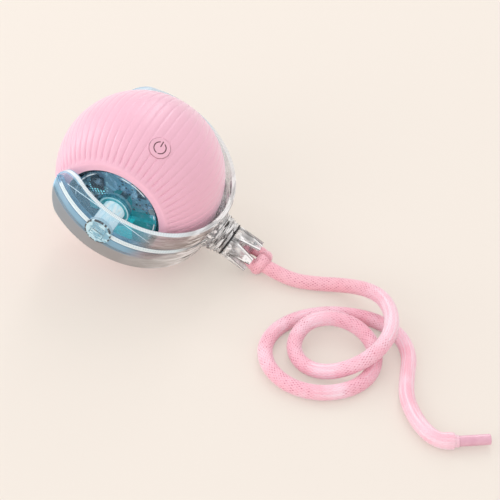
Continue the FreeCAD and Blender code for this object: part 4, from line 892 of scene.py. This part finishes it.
def model_sleeve(settings):
    """The ribbed sleeve: its section drawn by extruding, spun round the axle, then ribbed."""
    obj = start_line("ribbed_sleeve", CENTRE + Vector((OUTER_EDGE, FACE_Y, 0)) * MM)
    span = 2 * math.asin(FACE_Y / BALL_R)
    inner_span = 2 * math.asin(INNER_Y / INNER_R)
    draw_arc(-span, 60)
    draw_to((WINDOW_R - OUTER_EDGE, 0, 0), (0, FACE_Y - INNER_Y, 0), (INNER_EDGE - WINDOW_R, 0, 0))
    draw_arc(inner_span, 14)
    draw_to((WINDOW_R - INNER_EDGE, 0, 0), (0, FACE_Y - INNER_Y, 0), (OUTER_EDGE - WINDOW_R, 0, 0))
    bpy.ops.mesh.select_all(action="SELECT")
    bpy.ops.mesh.remove_doubles(threshold=0.004 * MM)
    pick_vertices(obj, lambda p: abs(p.x - WINDOW_R) < 0.01 and abs(abs(p.y) - FACE_Y) < 0.01)
    bpy.ops.mesh.bevel(offset=WINDOW_ROUND * MM, segments=4, affect="VERTICES")
    pick_vertices(obj, lambda p: abs(p.x - OUTER_EDGE) < 0.01 and abs(abs(p.y) - FACE_Y) < 0.01)
    bpy.ops.mesh.bevel(offset=RING_ROUND * MM, segments=3, affect="VERTICES")
    bpy.ops.mesh.select_all(action="SELECT")
    draw_arc(2 * math.pi, settings.rib_count * settings.steps_per_rib, axis=(0, 1, 0))
    close_form(obj)

    place = np.empty(len(obj.data.vertices) * 3)
    obj.data.vertices.foreach_get("co", place)
    place = place.reshape(-1, 3)
    out = place - np.array(CENTRE)
    away = np.linalg.norm(out, axis=1) / MM
    latitude = np.degrees(np.arcsin(np.clip(out[:, 1] / MM / np.maximum(away, 1e-6), -1, 1)))
    edge = math.degrees(span / 2)
    share = np.abs(latitude) / edge
    rise = np.clip((edge - RIB_START - np.abs(latitude)) / RIB_RISE, 0, 1)
    rise = rise * rise * (3 - 2 * rise)
    deeper = (settings.rib_depth - settings.rib_depth_middle) * np.clip(share, 0, 1) ** 3.2
    depth = (settings.rib_depth_middle + deeper) * rise
    turn = np.arctan2(out[:, 2], out[:, 0]) / (2 * math.pi) * settings.rib_count
    across = np.abs(2 * (turn - np.round(turn)))
    width = 0.42 + 0.22 * np.clip(share, 0, 1) ** 3
    groove = np.clip(1 - (1 - across) / width, 0, 1)
    drop = np.where(away > 29, depth * (0.72 * groove ** 1.4 + 0.28 * across ** 2), 0)
    place -= out / np.maximum(away[:, None] * MM, 1e-9) * drop[:, None]
    obj.data.vertices.foreach_set("co", place.ravel())
    obj.data.update()

    deselect()
    bpy.ops.mesh.primitive_cylinder_add(
        vertices=96, radius=BUTTON_HOLE_R * MM, depth=BALL_R * MM,
        location=CENTRE + BUTTON_AIM * BALL_R * MM,
        rotation=BUTTON_AIM.to_track_quat("Z", "Y").to_euler())
    cut_away(obj, bpy.context.object)
    smooth(obj, 40)
    silicone_finish(settings.colour).on(obj)
    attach(obj, "ball")
    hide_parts("silicone_sleeve")


def model_knot(settings, finish):
    """The cord's doubled end round the cap's pin, and the one wrap that ties it."""
    def placed(points):
        return [tuple((IN_BRACKET @ (Vector(p) * MM)) / MM) for p in points]

    pitch, relief = settings.pitch / MM, settings.relief / MM
    legs = spline_points("bight_route", placed(BIGHT_ROUTE), 0.22)
    outward = (legs - np.array(CENTRE) / MM) @ np.array(ALONG_NECK)
    squeezed = 1.75 + SQUEEZE * np.clip((outward - 48.0) / 2.5, 0, 1)
    bight = tube_round("cord_bight", legs, squeezed, 48, settings.strands, pitch * 0.8, relief)
    line = spline_points("wrap_route", placed(WRAP_ROUTE), 0.2)
    wrap = tube_round("cord_wrap", line, np.full(len(line), 2.35), 48, settings.strands,
                      pitch * 0.95, relief, up=tuple(ALONG_NECK))
    first = Vector(CORD_ROUTE[0])
    out = (Vector(CORD_ROUTE[1]) - first).normalized()
    line = spline_points("stub_route", [tuple(first + out * step) for step in (-3.6, -1.6, 0.25)],
                         0.2)
    stub = tube_round("cord_stub", line, np.full(len(line), settings.diameter / MM / 2 - 0.06), 64,
                      settings.strands, pitch, relief)
    for obj in (bight, wrap, stub):
        finish.on(obj)
        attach(obj, "tail")
    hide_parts("cord_knot")
    return [bight, wrap, stub]


def model_tail(settings, finish, knot):
    """The free cord: a braided tube along the route's spline, a little fuller at its sewn end."""
    line = spline_points("tail_route", CORD_ROUTE, 0.225)
    left = np.linspace(CORD_LENGTH, 0, len(line))
    sewn = np.exp(-((left - SEWN_END) / SEWN_LENGTH) ** 2)
    radius = settings.diameter / MM / 2 - 0.02 + 0.22 * sewn
    radius *= np.sqrt(np.clip(left / 1.6, 0.60, 1))
    line[:, 2] += 0.20 * sewn
    obj = tube_round("braided_tail", line, radius, 64, settings.strands, settings.pitch / MM,
                     settings.relief / MM)
    finish.on(obj)
    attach(obj, "tail")
    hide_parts("tail_cord")


def finish_frame_nodes():
    """Gives the frame's own pieces their finishes."""
    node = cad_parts
    clear_blue_finish().on(node["front_shell"], node["rear_shell"])
    bearing_finish().on(node["front_bush"], node["rear_bush"])
    pin_finish().on(node["front_pivot_pin"], node["rear_pivot_pin"])
    neck_finish().on(node["neck_nut"])
    crown_finish().on(node["swivel_cap"])
    bracket_finish("clear bracket", True).on(node["bracket_upper"])
    # the lower half: grey painted shade, a painted blue veil and a glowing web
    bracket_finish("lower bracket with painted shade", False).on(node["bracket_lower"])
    frame_finish().on(node["chassis"], node["gearbox_cover"])
    plastic_finish("gear plastic", (0.62, 0.70, 0.72), (0.78, 0.84, 0.85), 0.35).on(
        node["axle_gear"], node["idler_gear"], node["motor_pinion"])
    metal_finish("turned steel", (0.42, 0.44, 0.46), (0.72, 0.74, 0.76), 0.28).on(
        node["axle"], node["idler_pin"], node["gearbox_screws"], node["board_screws"],
        node["swivel_screw"], node["charge_socket"], node["cord_pin"])
    metal_finish("motor can", (0.45, 0.47, 0.50), (0.62, 0.64, 0.67), 0.35).on(node["motor"])
    battery_finish().on(node["battery"])
    board_finish().on(node["circuit_board"], node["switch_board"])
    plastic_finish("chip black", (0.012, 0.014, 0.018), (0.03, 0.035, 0.04), 0.3).on(
        node["board_chips"], node["tact_switch"])
    plastic_finish("clear lamp", (0.45, 0.72, 0.82), (0.70, 0.90, 0.96), 0.15).on(
        node["board_leds"])
    plastic_finish("washer black", (0.010, 0.010, 0.011), (0.03, 0.03, 0.032), 0.55).on(
        node["neck_seal"])
    plastic_finish("moulded tip", (0.66, 0.32, 0.42), (0.84, 0.52, 0.62), 0.16, 1.0, 3.0).on(
        node["cord_tip"])
    button_finish(bpy.context.scene.cat_ball_sleeve.colour).on(node["power_button"])


# Stage

def lay_floor(colour):
    """A plain floor, a little lit of its own for the camera, which keeps the object's shadow."""
    deselect()
    bpy.ops.mesh.primitive_plane_add(size=6, location=(0, 0, 0))
    floor = bpy.context.object
    floor.name = floor.data.name = "studio_floor"
    made = Finish("studio floor", Roughness=0.9, Specular_IOR_Level=0.1)
    made.set("Base Color", made.mix(made.noise(180, 1), tuple(Vector(colour) * 0.985), colour))
    lit = made.node("ShaderNodeEmission", {}, [colour])
    camera_ray = made.node("ShaderNodeLightPath", output="Is Camera Ray")
    made.show(made.node("ShaderNodeMixShader", {}, [camera_ray * 0.45, made.shader, lit]))
    made.on(floor)


def hang_lamp(name, place, **form):
    """A soft lamp that points at the object."""
    data = bpy.data.lights.new(name, "AREA")
    for key, value in form.items():
        setattr(data, key, value)
    lamp = bpy.data.objects.new(name, data)
    bpy.context.scene.collection.objects.link(lamp)
    lamp.location = place
    lamp.rotation_euler = (lamp.location - Vector(LAMPS_AIM)).to_track_quat("Z", "Y").to_euler()


def light_world(strength):
    """Even fill; gloss and clear plastic see light and dark bands, and the camera a backdrop."""
    world = bpy.data.worlds.new("studio")
    bpy.context.scene.world = world
    world.use_nodes = True
    made = NodeTree(world.node_tree, "ShaderNodeOutputWorld")
    glossy, clear, camera = [made.node("ShaderNodeLightPath", output=f"Is {kind} Ray")
                             for kind in ("Glossy", "Transmission", "Camera")]
    place = made.node("ShaderNodeTexCoord", output="Generated")
    bands = made.node("ShaderNodeTexWave", {}, {"Vector": place, "Scale": 1.6, "Distortion": 3.0},
                      "Fac")
    tones = made.node("ShaderNodeValToRGB", {"stops": [(0.25, (0.10, 0.09, 0.09)),
                                                       (0.55, (1.0, 0.99, 0.98))]}, [bands])
    fill = made.node("ShaderNodeBackground", {}, [(1, 0.99, 0.98), strength])
    seen = made.node("ShaderNodeBackground", {}, [tones])
    backdrop = made.node("ShaderNodeBackground", {}, [BACKDROP])
    light = made.node("ShaderNodeMixShader", {}, [glossy.math("MAXIMUM", clear), fill, seen])
    made.show(made.node("ShaderNodeMixShader", {}, [camera, light, backdrop]))


def light_stage(settings):
    """Plain pale floor, a large soft light, two strips, even fill, and the photograph's camera."""
    lay_floor(settings.floor)
    hang_lamp("soft key", KEY_PLACE, shape="DISK", size=0.9, energy=settings.key)
    for name, place in STRIP_PLACES.items():
        hang_lamp(name, place, shape="RECTANGLE", size=0.14, size_y=0.80, energy=settings.strips)
    light_world(settings.world)
    data = bpy.data.cameras.new("photo view")
    data.lens, data.sensor_width = CAMERA_LENS, 36
    camera = bpy.data.objects.new("photo view", data)
    camera.location, camera.rotation_euler = CAMERA_PLACE, CAMERA_TURN
    scene = bpy.context.scene
    scene.collection.objects.link(camera)
    scene.camera = camera
    scene.view_settings.view_transform = "Standard"


# Operators and panel

class CATBALL_OT_sleeve(bpy.types.Operator):
    """Model the ribbed silicone sleeve."""
    bl_idname = "catball.sleeve"
    bl_label = "Ribbed Sleeve"

    def execute(self, context):
        model_sleeve(context.scene.cat_ball_sleeve)
        return {"FINISHED"}


class CATBALL_OT_tail(bpy.types.Operator):
    """Model the knot and the braided tail."""
    bl_idname = "catball.tail"
    bl_label = "Knot and Tail"

    def execute(self, context):
        settings = context.scene.cat_ball_cord
        finish = braid_finish(settings)
        model_tail(settings, finish, model_knot(settings, finish))
        return {"FINISHED"}


class CATBALL_OT_finishes(bpy.types.Operator):
    """Give the frame's own pieces their finishes."""
    bl_idname = "catball.finishes"
    bl_label = "Finishes of the Frame"

    def execute(self, context):
        finish_frame_nodes()
        return {"FINISHED"}


class CATBALL_OT_stage(bpy.types.Operator):
    """Set up the floor, the lights and the camera."""
    bl_idname = "catball.stage"
    bl_label = "Stage"

    def execute(self, context):
        light_stage(context.scene.cat_ball_stage)
        return {"FINISHED"}


class CATBALL_PT_panel(bpy.types.Panel):
    """The steps that dress the cat ball, in order."""
    bl_idname = "CATBALL_PT_panel"
    bl_label = "Cat Ball"
    bl_space_type = "VIEW_3D"
    bl_region_type = "UI"
    bl_category = "Cat Ball"

    def draw(self, context):
        for group, operator in STEPS:
            box = self.layout.box()
            settings = getattr(context.scene, group, None)
            for name in settings.__annotations__ if settings else ():
                box.prop(settings, name)
            box.operator(operator)


STEPS = [("cat_ball_cord", "catball.tail"), ("cat_ball_sleeve", "catball.sleeve"),
         ("", "catball.finishes"), ("cat_ball_stage", "catball.stage")]
CLASSES = [SleeveSettings, CordSettings, StageSettings, CATBALL_OT_sleeve, CATBALL_OT_tail,
           CATBALL_OT_finishes, CATBALL_OT_stage, CATBALL_PT_panel]


def register():
    for kind in CLASSES:
        bpy.utils.register_class(kind)
    bpy.types.Scene.cat_ball_sleeve = PointerProperty(type=SleeveSettings)
    bpy.types.Scene.cat_ball_cord = PointerProperty(type=CordSettings)
    bpy.types.Scene.cat_ball_stage = PointerProperty(type=StageSettings)


def unregister():
    del bpy.types.Scene.cat_ball_stage
    del bpy.types.Scene.cat_ball_cord
    del bpy.types.Scene.cat_ball_sleeve
    for kind in reversed(CLASSES):
        bpy.utils.unregister_class(kind)


def main():
    register()
    bpy.ops.catball.tail()
    bpy.ops.catball.sleeve()
    bpy.ops.catball.finishes()
    bpy.ops.catball.stage()


if __name__ == "__main__":
    main()
